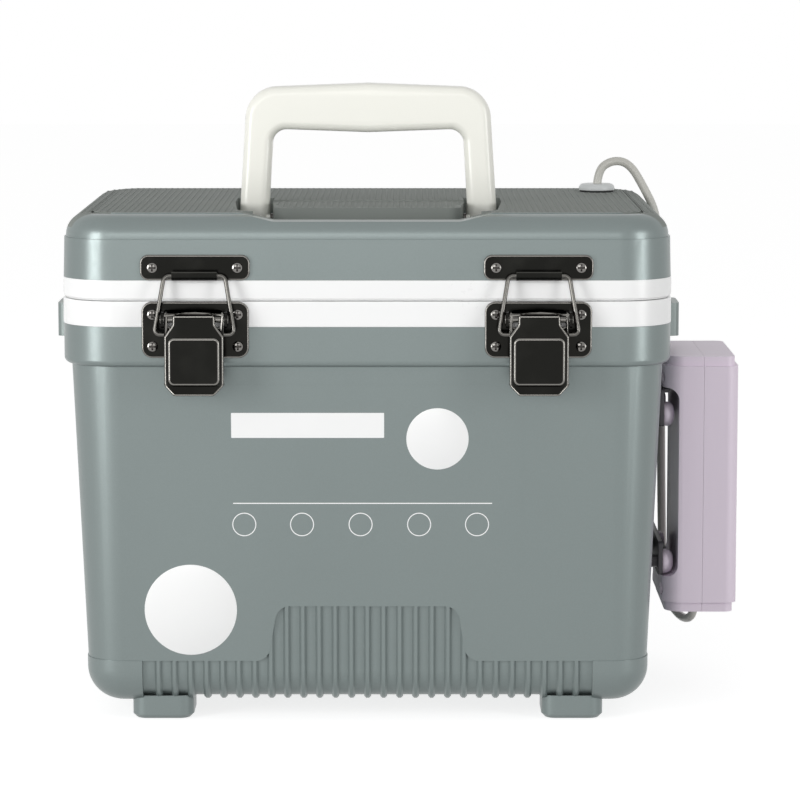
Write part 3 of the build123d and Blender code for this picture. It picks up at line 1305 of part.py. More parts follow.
# ---------------------------------------------------------------- pump, inside
FRAME_X = NOTCH_X + PUMP_WALL + FACE_GAP
FRAME_OUT_X = FRAME_X + FRAME_T
MOTOR_X = FRAME_OUT_X + FACE_GAP + MOTOR_R
MOTOR_Z = PUMP_LOW_Z + MOTOR_LOW
MOTOR_Y = MOTOR_FRONT - PUMP_HALF_D
HEAD_LOW_Z = MOTOR_Z + MOTOR_R + HEAD_GAP
HEAD_TOP_Z = HEAD_LOW_Z + HEAD_H
CELL_X = FRAME_OUT_X + CELL_GAP + CELL_R
CELL_LOW_Z = HEAD_TOP_Z + FACE_GAP
CELL_LEVELS = [CELL_LOW_Z + (number + 0.5) * CELL_PITCH for number in range(CELL_COUNT)]
CONTACT_Y = CELL_LEN / 2 + CELL_GAP
END_WALL_Y = CONTACT_Y + CONTACT_T + CELL_GAP
CELL_TOP_Z = CELL_LEVELS[-1] + CELL_PITCH / 2

with BuildPart() as pump_frame:
    with BuildSketch(side_plane(0, 0, FRAME_X)):
        with Locations((0, MOTOR_Z - MOTOR_R)):
            frame_h = CELL_TOP_Z - MOTOR_Z + MOTOR_R
            Rectangle(2 * FRAME_HALF_D, frame_h, align=(Align.CENTER, Align.MIN))
    extrude(amount=FRAME_T)
    for y in (-END_WALL_Y - CRADLE_T / 2, -CRADLE_Y, CRADLE_Y, END_WALL_Y + CRADLE_T / 2):
        deep = CELL_R if abs(y) < END_WALL_Y else 2 * CELL_R
        with BuildSketch(Plane.XZ.offset(-y - CRADLE_T / 2)):
            with Locations((FRAME_OUT_X, CELL_LOW_Z)):
                Rectangle(deep, CELL_COUNT * CELL_PITCH, align=(Align.MIN, Align.MIN))
            if abs(y) < END_WALL_Y:
                with Locations(*[(CELL_X, z) for z in CELL_LEVELS]):
                    RegularPolygon(CELL_R + CELL_GAP, CELL_SIDES, mode=Mode.SUBTRACT)
        extrude(amount=CRADLE_T)
pump_frame.part.label = "pump_frame"
export_step(pump_frame.part, "parts/pump_frame.step")

with BuildPart() as pump_cells:
    for number, z in enumerate(CELL_LEVELS):
        way = 1 if number % 2 == 0 else -1
        start = Plane((CELL_X, -way * CELL_LEN / 2, z), x_dir=(1, 0, 0), z_dir=(0, way, 0))
        with BuildSketch(start):
            RegularPolygon(CELL_R, CELL_SIDES)
        extrude(amount=CELL_LEN - CELL_TIP_H)
        with BuildSketch(start):
            RegularPolygon(CELL_TIP_R, CELL_SIDES)
        extrude(amount=CELL_LEN)
pump_cells.part.label = "pump_cells"
export_step(pump_cells.part, "parts/pump_cells.step")

with BuildPart() as pump_contacts:
    for way, groups in ((-1, ((0, 1), (2, 3))), (1, ((0, 0), (1, 2), (3, 3)))):
        for first, last in groups:
            low = CELL_LEVELS[first] - CELL_R + 1
            high = CELL_LEVELS[last] + CELL_R - 1
            mid = (CELL_X, way * CONTACT_Y, (low + high) / 2)
            with BuildSketch(Plane(mid, x_dir=(1, 0, 0), z_dir=(0, way, 0))):
                Rectangle(CELL_R, high - low)
            extrude(amount=CONTACT_T)
pump_contacts.part.label = "pump_contacts"
export_step(pump_contacts.part, "parts/pump_contacts.step")


def motor_plane(y, up=0.0):
    """A plane facing the rear on the motor's axis."""
    return Plane((MOTOR_X, y, MOTOR_Z + up), x_dir=(1, 0, 0), z_dir=(0, 1, 0))


CRANK_Y = MOTOR_Y + MOTOR_LEN + CRANK_GAP
LINK_Y = CRANK_Y + CRANK_T + CRANK_GAP
with BuildPart() as pump_motor:
    with BuildSketch(motor_plane(MOTOR_Y)):
        Circle(MOTOR_R)
    extrude(amount=MOTOR_LEN)
    chamfer(pump_motor.edges().filter_by(GeomType.CIRCLE), SHAFT_R)
    with BuildSketch(motor_plane(MOTOR_Y + MOTOR_LEN)):
        Circle(SHAFT_R + PIN_PLAY)
    extrude(amount=-SHAFT_LEN, mode=Mode.SUBTRACT)
pump_motor.part.label = "pump_motor"
export_step(pump_motor.part, "parts/pump_motor.step")

with BuildPart() as pump_crank:
    with BuildSketch(motor_plane(CRANK_Y)):
        Circle(CRANK_R)
    extrude(amount=CRANK_T)
    with BuildSketch(motor_plane(CRANK_Y)):
        Circle(SHAFT_R)
    extrude(amount=CRANK_GAP - SHAFT_LEN)
    with BuildSketch(motor_plane(CRANK_Y + CRANK_T, CRANK_THROW)):
        Circle(CRANK_PIN_R)
    extrude(amount=CRANK_PIN_LEN)
pump_crank.part.label = "pump_crank"
export_step(pump_crank.part, "parts/pump_crank.step")

with BuildPart() as pump_link:
    diaphragm_z = HEAD_LOW_Z + FACE_GAP
    with BuildSketch(motor_plane(LINK_Y)):
        Circle(LINK_EYE_R)
        Rectangle(2 * LINK_T, MOTOR_R + HEAD_GAP + FACE_GAP, align=(Align.CENTER, Align.MAX))
        Circle(CRANK_PIN_R + CRANK_THROW + LINK_EYE_GAP, mode=Mode.SUBTRACT)
    extrude(amount=LINK_T)
    with BuildSketch(Plane((MOTOR_X, LINK_Y + LINK_T / 2, diaphragm_z))):
        Circle(DIAPHRAGM_R)
    extrude(amount=DIAPHRAGM_H)
pump_link.part.label = "pump_link"
export_step(pump_link.part, "parts/pump_link.step")

SPIGOT_Z = HEAD_LOW_Z - NOZZLE_R
NOZZLE_Z = PUMP_LOW_Z + NOZZLE_SHOULDER
NOZZLE_TOP_Z = NOZZLE_Z + NOZZLE_H - NOZZLE_SHOULDER
with BuildPart() as pump_head:
    head_front_y = LINK_Y - 1.5 * DIAPHRAGM_R
    head_d = HEAD_REAR - PUMP_HALF_D - head_front_y
    with BuildSketch(Plane.XY.offset(HEAD_LOW_Z)):
        with Locations((FRAME_OUT_X + FACE_GAP, head_front_y)):
            Rectangle(HEAD_W, head_d, align=(Align.MIN, Align.MIN))
    extrude(amount=HEAD_H)
    with BuildSketch(Plane((MOTOR_X, LINK_Y + LINK_T / 2, HEAD_LOW_Z))):
        Circle(DIAPHRAGM_R + FACE_GAP)
    extrude(amount=DIAPHRAGM_H + 2 * FACE_GAP, mode=Mode.SUBTRACT)
    add(stack(PUMP_SEAM_X, NOZZLE_Y, [
        (SPIGOT_Z, HEAD_LOW_Z, HOSE_R + 1, BARB_BORE_R),
        (SPIGOT_Z - BARB_LEN, SPIGOT_Z, BARB_R, BARB_BORE_R),
    ]))
pump_head.part.label = "pump_head"
export_step(pump_head.part, "parts/pump_head.step")

with BuildPart() as pump_nozzle:
    add(stack(PUMP_SEAM_X, NOZZLE_Y, [
        (PUMP_LOW_Z + PUMP_WALL + STUD_GAP, NOZZLE_Z, NOZZLE_R, HOSE_FIT_R),
        (NOZZLE_Z, NOZZLE_TOP_Z, NOZZLE_R, BARB_BORE_R),
        (NOZZLE_Z - BARB_LEN, NOZZLE_Z, BARB_R, BARB_BORE_R),
        (NOZZLE_TOP_Z, NOZZLE_TOP_Z + BARB_LEN, BARB_R, BARB_BORE_R),
    ]))
pump_nozzle.part.label = "pump_nozzle"
export_step(pump_nozzle.part, "parts/pump_nozzle.step")

with BuildPart() as pump_tube:
    add(stack(PUMP_SEAM_X, NOZZLE_Y, [(NOZZLE_TOP_Z, SPIGOT_Z, HOSE_R, HOSE_BORE_R)]))
pump_tube.part.label = "pump_tube"
export_step(pump_tube.part, "parts/pump_tube.step")

SWITCH_BODY_X = PUMP_OUT_X - PUMP_WALL - STUD_GAP
with BuildPart() as pump_switch_body:
    with BuildSketch(side_plane(SWITCH_Y, SWITCH_Z, SWITCH_BODY_X)):
        Rectangle(SWITCH_RECESS_W, SWITCH_RECESS_H)
    extrude(amount=-SWITCH_BODY_DEPTH)
    with BuildSketch(side_plane(SWITCH_Y, SWITCH_Z, SWITCH_BODY_X)):
        Rectangle(slot_w, slot_w + SWITCH_TRAVEL)
    extrude(amount=1 - SWITCH_BODY_DEPTH, mode=Mode.SUBTRACT)
pump_switch_body.part.label = "pump_switch_body"
export_step(pump_switch_body.part, "parts/pump_switch_body.step")

with BuildPart() as pump_switch:
    off_z = SWITCH_Z - SWITCH_TRAVEL / 2
    with BuildSketch(side_plane(SWITCH_Y, off_z, PUMP_OUT_X)):
        RectangleRounded(SWITCH_KNOB, SWITCH_KNOB, SWITCH_KNOB_H)
    extrude(amount=-SWITCH_KNOB_H)
    with BuildSketch(side_plane(SWITCH_Y, off_z, PUMP_OUT_X - SWITCH_KNOB_H)):
        Rectangle(SWITCH_STEM, SWITCH_STEM)
    extrude(amount=-PUMP_WALL - SWITCH_STEM / 2)
pump_switch.part.label = "pump_switch"
export_step(pump_switch.part, "parts/pump_switch.step")

# ---------------------------------------------------------- air stone and hoses
STONE_Z = BASIN_Z + STONE_R + FACE_GAP
with BuildPart() as air_stone:
    with BuildSketch(Plane.XZ.offset(-STONE_Y - STONE_LEN / 2)):
        with Locations((STONE_X, STONE_Z)):
            Circle(STONE_R)
    extrude(amount=STONE_LEN)
    chamfer(air_stone.edges().filter_by(GeomType.CIRCLE), STONE_EDGE)
    with BuildSketch(Plane.XZ.offset(-STONE_Y - STONE_LEN / 2)):
        with Locations((STONE_X, STONE_Z)):
            Circle(HOSE_R + 1)
    extrude(amount=-BARB_LEN)
air_stone.part.label = "air_stone"
export_step(air_stone.part, "parts/air_stone.step")


def bend_radii(points):
    """The largest arc that each corner of a route allows: 0.45 of its shorter run."""
    radii = []
    for before, corner, after in zip(points, points[1:], points[2:]):
        come = Vector(*corner) - Vector(*before)
        leave = Vector(*after) - Vector(*corner)
        half_turn = radians(come.get_angle(leave)) / 2
        radii.append(0.45 * min(come.length, leave.length) / tan(half_turn))
    return radii


def hose(name, points):
    """A hose along its route, and a check of its volume."""
    radii = bend_radii(points)
    with BuildPart() as tube:
        with BuildLine() as path:
            FilletPolyline(*points, radius=radii)
        along = Vector(*points[1]) - Vector(*points[0])
        with BuildSketch(Plane(points[0], z_dir=along)):
            RegularPolygon(HOSE_R, HOSE_SIDES)
            RegularPolygon(HOSE_BORE_R, HOSE_SIDES, mode=Mode.SUBTRACT)
        sweep(path=path.wires()[0])
    length = path.wires()[0].length
    octagon = HOSE_SIDES / 2 * sin(2 * pi / HOSE_SIDES)
    expected = octagon * (HOSE_R**2 - HOSE_BORE_R**2) * length
    print(name, "length", round(length, 1), "volume", round(tube.part.volume), "of", round(expected))
    print(name, "radii", [round(radius, 1) for radius in radii])
    return tube.part


MEET_Z = TOP_Z - HOSE_MEET_DROP
AIR_HOSE_POINTS = [
    (GROMMET_X, GROMMET_Y, MEET_Z),
    (GROMMET_X, GROMMET_Y, 259.3),
    (126.6, 61.7, 265.2),
    (135.7, 61.2, 263.6),
    (143.2, 60.2, 251.2),
    (150.4, 58.0, 236.4),
    (151.6, 54.6, 208.0),
    (152.2, 50.8, 163.0),
    (152.6, 47.4, 118.0),
    (153.1, 45.4, 78.0),
    (153.8, 44.4, 53.0),
    (156.4, 38.6, 35.6),
    (161.6, 23.6, 29.9),
    (165.6, 12.2, 31.0),
    (PUMP_SEAM_X, NOZZLE_Y, 37.2),
    (PUMP_SEAM_X, NOZZLE_Y, NOZZLE_Z),
]
INNER_HOSE_POINTS = [
    (GROMMET_X, GROMMET_Y, MEET_Z),
    (GROMMET_X, GROMMET_Y, 199.0),
    (117.0, 61.4, 164.0),
    (113.6, 59.8, 126.0),
    (108.6, 57.4, 88.0),
    (102.6, 55.6, 62.0),
    (95.4, 54.0, 45.0),
    (87.6, 51.6, 37.2),
    (STONE_X, STONE_Y + STONE_LEN / 2 + BARB_LEN + 7.4, STONE_Z),
    (STONE_X, STONE_Y + STONE_LEN / 2 + BARB_LEN, STONE_Z),
]
for name, points in (("air_hose", AIR_HOSE_POINTS), ("air_hose_inner", INNER_HOSE_POINTS)):
    with BuildPart() as whole_hose:
        add(hose(name, points))
    whole_hose.part.label = name
    export_step(whole_hose.part, f"parts/{name}.step")
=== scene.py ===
# %% [markdown]
# # A live-bait cooler box and its air pump
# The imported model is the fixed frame: every solid already has its size and place. This script
# gives each solid the round edges and the finish of the real thing, and adds the pieces that
# only a close look shows. All lengths are metres, with X to the right, Y away from the camera
# and Z up. Sizes are written in millimetres times MM.

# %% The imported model
import json
import math

import bmesh
import bpy
from mathutils import Matrix, Vector
from mathutils.bvhtree import BVHTree


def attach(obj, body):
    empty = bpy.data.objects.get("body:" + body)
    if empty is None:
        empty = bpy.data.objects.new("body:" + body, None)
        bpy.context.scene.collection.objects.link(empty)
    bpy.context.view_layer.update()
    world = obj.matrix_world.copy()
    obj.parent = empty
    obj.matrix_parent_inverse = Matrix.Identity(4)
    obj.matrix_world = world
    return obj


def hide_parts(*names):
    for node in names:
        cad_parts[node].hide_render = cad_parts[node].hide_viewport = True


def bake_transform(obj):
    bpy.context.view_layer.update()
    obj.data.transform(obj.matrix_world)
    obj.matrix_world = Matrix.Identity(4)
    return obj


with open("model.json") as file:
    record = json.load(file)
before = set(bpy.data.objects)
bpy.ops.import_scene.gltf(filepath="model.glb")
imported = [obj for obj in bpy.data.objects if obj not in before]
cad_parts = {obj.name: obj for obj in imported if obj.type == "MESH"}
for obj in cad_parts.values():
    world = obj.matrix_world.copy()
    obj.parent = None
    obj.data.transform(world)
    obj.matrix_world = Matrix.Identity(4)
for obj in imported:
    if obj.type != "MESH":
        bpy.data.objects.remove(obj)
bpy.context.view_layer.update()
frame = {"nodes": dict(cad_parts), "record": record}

MM = 0.001
HANDS = ("left", "right")

# %% [markdown]
# ## Camera
# The camera was found from the box's own edges: a long lens, 1.77 m away, a little above the
# lid and tilted down by seven degrees. Long lenses keep upright edges nearly parallel, which is
# how product pictures are taken.

# %% The camera
CAMERA_PLACE = Vector((15.86, -1765.0, 371.37)) * MM
CAMERA_TILT = math.radians(7.259)
CAMERA_FOCAL = 157.2
CAMERA_SENSOR = 36.0

camera_data = bpy.data.cameras.new("camera")
camera_data.lens = CAMERA_FOCAL
camera_data.sensor_width = CAMERA_SENSOR
camera = bpy.data.objects.new("camera", camera_data)
camera.location = CAMERA_PLACE
camera.rotation_euler = (math.pi / 2 - CAMERA_TILT, 0, 0)
bpy.context.scene.collection.objects.link(camera)
bpy.context.scene.camera = camera
print("camera at", [round(value, 3) for value in camera.location])

# %% [markdown]
# ## Shader maths as Python
# A material is a graph of nodes. Wrapping a node's output in a small class lets a finish be
# written as an expression, and each operator adds the node that it needs.


# %% Sockets
class Socket:
    """An output of a node. Its operators add Math nodes."""

    def __init__(self, finish, link):
        self.finish = finish
        self.link = link

    def __add__(self, other):
        return self.finish.math("ADD", self, other)

    def __sub__(self, other):
        return self.finish.math("SUBTRACT", self, other)

    def __rsub__(self, other):
        return self.finish.math("SUBTRACT", other, self)

    def __mul__(self, other):
        return self.finish.math("MULTIPLY", self, other)

    __radd__ = __add__
    __rmul__ = __mul__


# %% [markdown]
# The graph belongs to a material or to the world. One method adds any node, and the others are
# short names for the nodes that this box needs again and again. They could be set up one by one
# in the shader editor, but fourteen finishes would then repeat the same clicks.


# %% Finishes
class Finish:
    """The node graph of a material or of the world, while it is being built."""

    def __init__(self, owner):
        self.owner = owner
        self.owner.use_nodes = True
        self.tree = self.owner.node_tree
        self.tree.nodes.clear()

    def node(self, kind, settings=None, inputs=None, output=0):
        """A node with its settings, then its inputs, each a value or a Socket."""
        made = self.tree.nodes.new(kind)
        for key, value in (settings or {}).items():
            if key == "stops":
                self.set_stops(made.color_ramp, value)
            else:
                setattr(made, key, value)
        for key, value in (inputs or {}).items():
            if isinstance(value, Socket):
                self.tree.links.new(value.link, made.inputs[key])
            else:
                made.inputs[key].default_value = value
        return Socket(self, made.outputs[output]) if made.outputs else None

    def set_stops(self, ramp, stops):
        """The stops of a colour ramp, as (position, grey)."""
        while len(ramp.elements) < len(stops):
            ramp.elements.new(0.5)
        for element, (position, grey) in zip(ramp.elements, stops):
            element.position = position
            element.color = (grey, grey, grey, 1)

    def math(self, operation, first, second=0.0):
        return self.node("ShaderNodeMath", {"operation": operation}, {0: first, 1: second})

    def place(self):
        """A point's own place on the object."""
        return self.node("ShaderNodeTexCoord", output="Object")

    def along(self, axis):
        """A point's place along X, Y or Z."""
        return self.node("ShaderNodeSeparateXYZ", None, {"Vector": self.place()}, output=axis)

    def noise(self, size, detail=2.0, stretch=(1, 1, 1)):
        """Smooth noise from 0 to 1 whose blobs are about size across, stretched along the axes."""
        place = self.node(
            "ShaderNodeMapping", {"vector_type": "POINT"},
            {"Vector": self.place(), "Scale": [1 / way for way in stretch]},
        )
        return self.node(
            "ShaderNodeTexNoise", None, {"Vector": place, "Scale": 1 / size, "Detail": detail}
        )

    def ramp(self, value, stops):
        return self.node("ShaderNodeValToRGB", {"stops": stops}, {"Fac": value})

    def blend(self, first, second, share):
        """Two colours mixed by share."""
        return self.node(
            "ShaderNodeMix", {"data_type": "RGBA"}, {0: share, 6: first, 7: second}, output=2
        )

    def bump(self, height, distance, strength=1.0):
        inputs = {"Height": height, "Distance": distance, "Strength": strength}
        return self.node("ShaderNodeBump", None, inputs)

    def worn(self):
        """The share of a lighter tint: 1 on rounded faces and screw heads, where it paints a
        highlight, a part on wires for their lighter metal tint, 0 elsewhere.
        """
        settings = {"attribute_type": "GEOMETRY", "attribute_name": "worn"}
        return self.node("ShaderNodeAttribute", settings, output="Fac")

    def seen(self):
        """1 for a ray from the camera, also by way of gloss or glass, and 0 for other light."""
        found = self.node("ShaderNodeLightPath", output="Is Camera Ray")
        for ray in ("Is Glossy Ray", "Is Transmission Ray"):
            found = self.math("MAXIMUM", found, self.node("ShaderNodeLightPath", output=ray))
        return found

    def surface(self, **sockets):
        """The Principled shader, with its sockets named in lower case."""
        inputs = {key.replace("_", " ").title(): value for key, value in sockets.items()}
        shader = self.node("ShaderNodeBsdfPrincipled", None, inputs)
        self.node("ShaderNodeOutputMaterial", None, {"Surface": shader})
        return self.owner


# %% [markdown]
# Colours are written as a screen shows them, 0 to 255, because that is how they are judged by
# eye. Shaders work with linear light, so each one is converted once.


# %% Colours
def colour(red, green, blue):
    """A colour as a screen shows it, in the linear values that shaders use."""
    screen = [value / 255 for value in (red, green, blue)]
    linear = [((v + 0.055) / 1.055) ** 2.4 if v > 0.04045 else v / 12.92 for v in screen]
    return (*linear, 1.0)


def shaded(tint, factor):
    """A colour times a factor."""
    return (*[min(value * factor, 1.0) for value in tint[:3]], 1.0)


# %% [markdown]
# ## Etched mould and painted shade on the top
# The lid's top is matt because its mould was etched there, and a darker tint paints the shade that
# falls on the top. The etched part covers the flat panel and runs down over the two rounded ends,
# but not over the front and the back. The lid could be cut into two materials along that line, but
# then a seam would have to follow it. Two comparisons on a point's own place draw the same line on
# the whole lid.

# %% The etched and shaded part of the lid
PANEL_Z = 248.6 * MM
ETCHED_FROM_Z = PANEL_Z - 7.03 * MM
ETCHED_HALF_Y = 88.8 * MM


def etched_shaded_part(finish):
    """1 where the lid's mould is etched and its top is painted darker as shade, 0 elsewhere."""
    between = finish.math("LESS_THAN", finish.math("ABSOLUTE", finish.along("Y")), ETCHED_HALF_Y)
    return finish.math("GREATER_THAN", finish.along("Z"), ETCHED_FROM_Z) * between


# %% [markdown]
# ## Plastics
# Moulded plastic is never one flat colour. The melt's flow leaves soft cloudy patches, the
# mould's polish gives a fine orange peel, and gloss changes a little with both. A photograph of
# a moulding could be wrapped on, but noise has no seams and no edge to run out at. Each plastic
# below has those three at its own strength, so one function makes them all.

# %% Moulded plastic
FLOW_SIZE = 60 * MM
FLOW_STRETCH = (1, 1, 1.8)
FLAKE_SIZE = 0.7 * MM
PEEL_SIZE = 2.4 * MM
TINT_SPREAD = 0.1
TINT_GAIN = 8
FLOW_IN_GLOSS = 0.10
PEEL_IN_GLOSS = 0.06
PEEL_STRENGTH = 0.6
# Rounded edges are painted lighter by this factor and share, as a painted highlight.
SHEEN_LIGHTER = 1.3
SHEEN_SHARE = 0.6
# The lid's etched top is painted darker by this tint and share, as painted shade.
TOP_SHADE_TINT = colour(128, 132, 127)
TOP_SHADE_SHARE = 0.8
ETCHED_MATT = 0.4
COAT_ROUGHNESS = 0.12


def moulded(name, tint, roughness, cloud=0.05, peel=0.02, flake=0.0, metallic=0.0, coat=0.0,
            with_etched_shade=False):
    """Injection-moulded plastic: cloudy colour, orange peel, metal flakes if asked for, rounded
    edges painted lighter as a highlight, and painted shade on the etched lid top if asked for.
    """
    finish = Finish(bpy.data.materials.new(name))
    flow = finish.noise(FLOW_SIZE, 3.0, FLOW_STRETCH)
    grain = finish.noise(FLAKE_SIZE, 1.0)
    skin = finish.noise(PEEL_SIZE)
    share = (flow - 0.5) * cloud * TINT_GAIN + (grain - 0.5) * flake * TINT_GAIN + 0.5
    flat = finish.blend(shaded(tint, 1 - TINT_SPREAD), shaded(tint, 1 + TINT_SPREAD), share)
    # Faces that a rounding made are painted lighter, a painted highlight along the edges.
    base = finish.blend(flat, shaded(tint, SHEEN_LIGHTER), finish.worn() * SHEEN_SHARE)
    gloss = (flow - 0.5) * FLOW_IN_GLOSS + (skin - 0.5) * PEEL_IN_GLOSS + roughness
    if with_etched_shade:
        # The etched top is matt, and its darker tint is painted shade on the top.
        etched_shaded = etched_shaded_part(finish)
        base = finish.blend(base, TOP_SHADE_TINT, etched_shaded * TOP_SHADE_SHARE)
        gloss = gloss + etched_shaded * ETCHED_MATT
        metallic = (1 - etched_shaded) * metallic
    return finish.surface(
        base_color=base,
        roughness=gloss,
        metallic=metallic,
        coat_weight=coat,
        coat_roughness=COAT_ROUGHNESS,
        normal=finish.bump(skin, peel * MM, PEEL_STRENGTH),
    )


# %% The box's plastics
BODY_TINT = colour(125, 135, 134)
RIM_TINT = colour(251, 252, 251)
IVORY_TINT = colour(250, 249, 238)
LUG_TINT = colour(128, 138, 136)
LILAC_TINT = colour(230, 217, 231)
DARK_TINT = colour(50, 47, 52)
WRAP_TINT = colour(120, 121, 124)
GROMMET_TINT = colour(214, 217, 217)
RUBBER_TINT = colour(26, 26, 27)

finishes = {
    "body_grey": moulded(
        "silver_grey", BODY_TINT, 0.33, cloud=0.03, flake=0.05, metallic=0.4, with_etched_shade=True
    ),
    "rim_white": moulded("rim_white", RIM_TINT, 0.30, cloud=0.01),
    "handle_ivory": moulded("handle_ivory", IVORY_TINT, 0.30, cloud=0.01, coat=0.2),
    "lug_grey": moulded("lug_grey", LUG_TINT, 0.38, cloud=0.03, metallic=0.2),
    "pump_lilac": moulded("pump_lilac", LILAC_TINT, 0.42, cloud=0.03, peel=0.03),
    "pump_dark": moulded("pump_dark", DARK_TINT, 0.45, cloud=0.04),
    "cell_wrap": moulded("cell_wrap", WRAP_TINT, 0.35),
    "grommet_pale": moulded("grommet_pale", GROMMET_TINT, 0.34, cloud=0.02),
    "rubber_black": moulded("rubber_black", RUBBER_TINT, 0.6, peel=0.05),
}
print("plastics", len(finishes))

# %% [markdown]
# ## Plated metal
# The latches are pressed steel under black nickel: a dark mirror that still scatters light along
# the press marks. The screws have the same plating, a little brighter. A plain dark metal would
# look like a computer's drawing of one, so a noise drawn out along Z gives the marks and a broad
# one gives the smudges. The rounded edges are painted lighter, a painted highlight that stands for
# the light they catch.

# %% Black nickel and screw steel
# The lighter tints paint a highlight on rounded edges, wires and screw heads.
NICKEL_TINT = colour(34, 34, 32)
NICKEL_SHEEN_TINT = colour(122, 120, 116)
# A screw's dark tint shows only in its cross recess, as painted shade, and its lighter tint is a
# painted highlight on the head.
SCREW_RECESS_SHADE = colour(66, 64, 62)
SCREW_SHEEN_TINT = colour(122, 120, 117)
MARK_SIZE = 0.5 * MM
MARK_STRETCH = (1, 1, 24)
MARK_DEPTH = 0.006 * MM
MARK_STRENGTH = 0.5
MARK_IN_GLOSS = 0.08
SMUDGE_SIZE = 14 * MM
SMUDGE_STOPS = ((0.45, 0.0), (0.75, 1.0))
SMUDGE_LIGHTER = 1.5
SMUDGE_SHARE = 0.6
SMUDGE_IN_GLOSS = 0.08


def plated(name, tint, sheen_tint, roughness):
    """Polished plate with faint marks and smudges, its rounded edges painted brighter as a
    highlight.
    """
    finish = Finish(bpy.data.materials.new(name))
    marks = finish.noise(MARK_SIZE, 2.0, MARK_STRETCH)
    smudge = finish.ramp(finish.noise(SMUDGE_SIZE, 3.0), SMUDGE_STOPS)
    face = finish.blend(tint, shaded(tint, SMUDGE_LIGHTER), smudge * SMUDGE_SHARE)
    return finish.surface(
        # Rounded faces take the lighter tint, a painted highlight.
        base_color=finish.blend(face, sheen_tint, finish.worn()),
        roughness=(marks - 0.5) * MARK_IN_GLOSS + smudge * SMUDGE_IN_GLOSS + roughness,
        metallic=1.0,
        normal=finish.bump(marks, MARK_DEPTH, MARK_STRENGTH),
    )


finishes["latch_black"] = plated("black_nickel", NICKEL_TINT, NICKEL_SHEEN_TINT, 0.17)
finishes["screw_steel"] = plated("plated_steel", SCREW_RECESS_SHADE, SCREW_SHEEN_TINT, 0.16)
print("with metals", len(finishes))

# %% [markdown]
# ## Foam and stone
# The insulation is foam and the air stone is sintered grit, and both are full of pits. Pits could
# be modelled, but there are thousands. A Voronoi texture has cells of about one size, so it gives
# the pits a painted shade and a bump, and a broad noise keeps them from looking even.

# %% Porous matter
FOAM_TINT = colour(228, 226, 216)
STONE_TINT = colour(150, 156, 164)
PIT_STOPS = ((0.1, 0.0), (0.6, 1.0))
PIT_SHADE_DARKER = 0.7
PIT_SHADE_SHARE = 0.5
CLOUD_SIZE = 12 * MM
CLOUD_SHARE = 0.3
CLOUD_IN_GLOSS = 0.1
POROUS_ROUGHNESS = 0.85


def porous(name, tint, size, depth):
    """Foam or sintered stone: cells of about one size, with painted shade in their pits."""
    finish = Finish(bpy.data.materials.new(name))
    cells = finish.node(
        "ShaderNodeTexVoronoi", {"feature": "F1"}, {"Vector": finish.place(), "Scale": 1 / size}
    )
    pits = finish.ramp(cells, PIT_STOPS)
    cloud = finish.noise(CLOUD_SIZE)
    # The pits are painted darker, as painted shade.
    share = pits * PIT_SHADE_SHARE + (cloud - 0.5) * CLOUD_SHARE
    return finish.surface(
        base_color=finish.blend(tint, shaded(tint, PIT_SHADE_DARKER), share),
        roughness=(cloud - 0.5) * CLOUD_IN_GLOSS + POROUS_ROUGHNESS,
        normal=finish.bump(1 - pits, depth),
    )


finishes["foam"] = porous("white_foam", FOAM_TINT, 3.0 * MM, 0.3 * MM)
finishes["stone_grey"] = porous("air_stone", STONE_TINT, 0.9 * MM, 0.25 * MM)
print("with foam and stone", len(finishes))

# %% [markdown]
# ## Milky hose
# The hose is clear vinyl gone milky with age. A shader that lets light through shows the far
# side of the tube as dark stripes, and a thin hose then looks like rope. So the tube is solid,
# and a cloudy pale colour under a soft shine stands for the light that it scatters.

# %% Vinyl
VINYL_TINT = colour(204, 203, 196)
VINYL_SPREAD = 0.08
VINYL_ROUGHNESS = 0.30
VINYL_SKIN_SIZE = 5 * MM
VINYL_SKIN_DEPTH = 0.003 * MM
VINYL_SKIN_STRENGTH = 0.3
HAZE_IN_GLOSS = 0.10


def vinyl(name, tint):
    """Clear vinyl hose gone milky: cloudy inside, with a soft shine on its skin."""
    finish = Finish(bpy.data.materials.new(name))
    haze = finish.noise(CLOUD_SIZE, 1.0)
    skin = finish.noise(VINYL_SKIN_SIZE)
    return finish.surface(
        base_color=finish.blend(
            shaded(tint, 1 - VINYL_SPREAD), shaded(tint, 1 + VINYL_SPREAD), haze
        ),
        roughness=(haze - 0.5) * HAZE_IN_GLOSS + VINYL_ROUGHNESS,
        normal=finish.bump(skin, VINYL_SKIN_DEPTH, VINYL_SKIN_STRENGTH),
    )


finishes["hose_clear"] = vinyl("milky_vinyl", VINYL_TINT)
print("finishes", len(finishes))

# %% [markdown]
# ## Every solid gets its finish
# The record says which slot each solid takes and which body it moves with, so one loop dresses
# them all. They could be dressed by hand, but a table can't miss a screw.

# %% Dress the solids
slot_of = {part["node"]: part["material_slot"] for part in frame["record"]["subparts"]}
body_of = {}
for body, nodes in frame["record"]["behaviour"]["bodies"].items():
    for node in nodes:
        body_of[node] = body
for node, solid in frame["nodes"].items():
    solid.data.materials.clear()
    solid.data.materials.append(finishes[slot_of[node]])
print("dressed", len(frame["nodes"]))

# %% [markdown]
# Pieces made later take the same finishes by slot and ride on the same bodies. Each starts as a
# bmesh, so one helper turns any bmesh into an object. Its faces are shaded smooth, apart from
# edges that are sharper than an angle.


# %% A bmesh becomes a piece
def finish_piece(name, form, body, slot, smooth_angle=35):
    """Makes a bmesh an object in a slot's finish that rides on a body."""
    mesh = bpy.data.meshes.new(name)
    form.to_mesh(mesh)
    form.free()
    mesh.shade_smooth()
    mesh.set_sharp_from_angle(angle=math.radians(smooth_angle))
    mesh.materials.append(finishes[slot])
    piece = bpy.data.objects.new(name, mesh)
    bpy.context.scene.collection.objects.link(piece)
    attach(piece, body)
    return piece
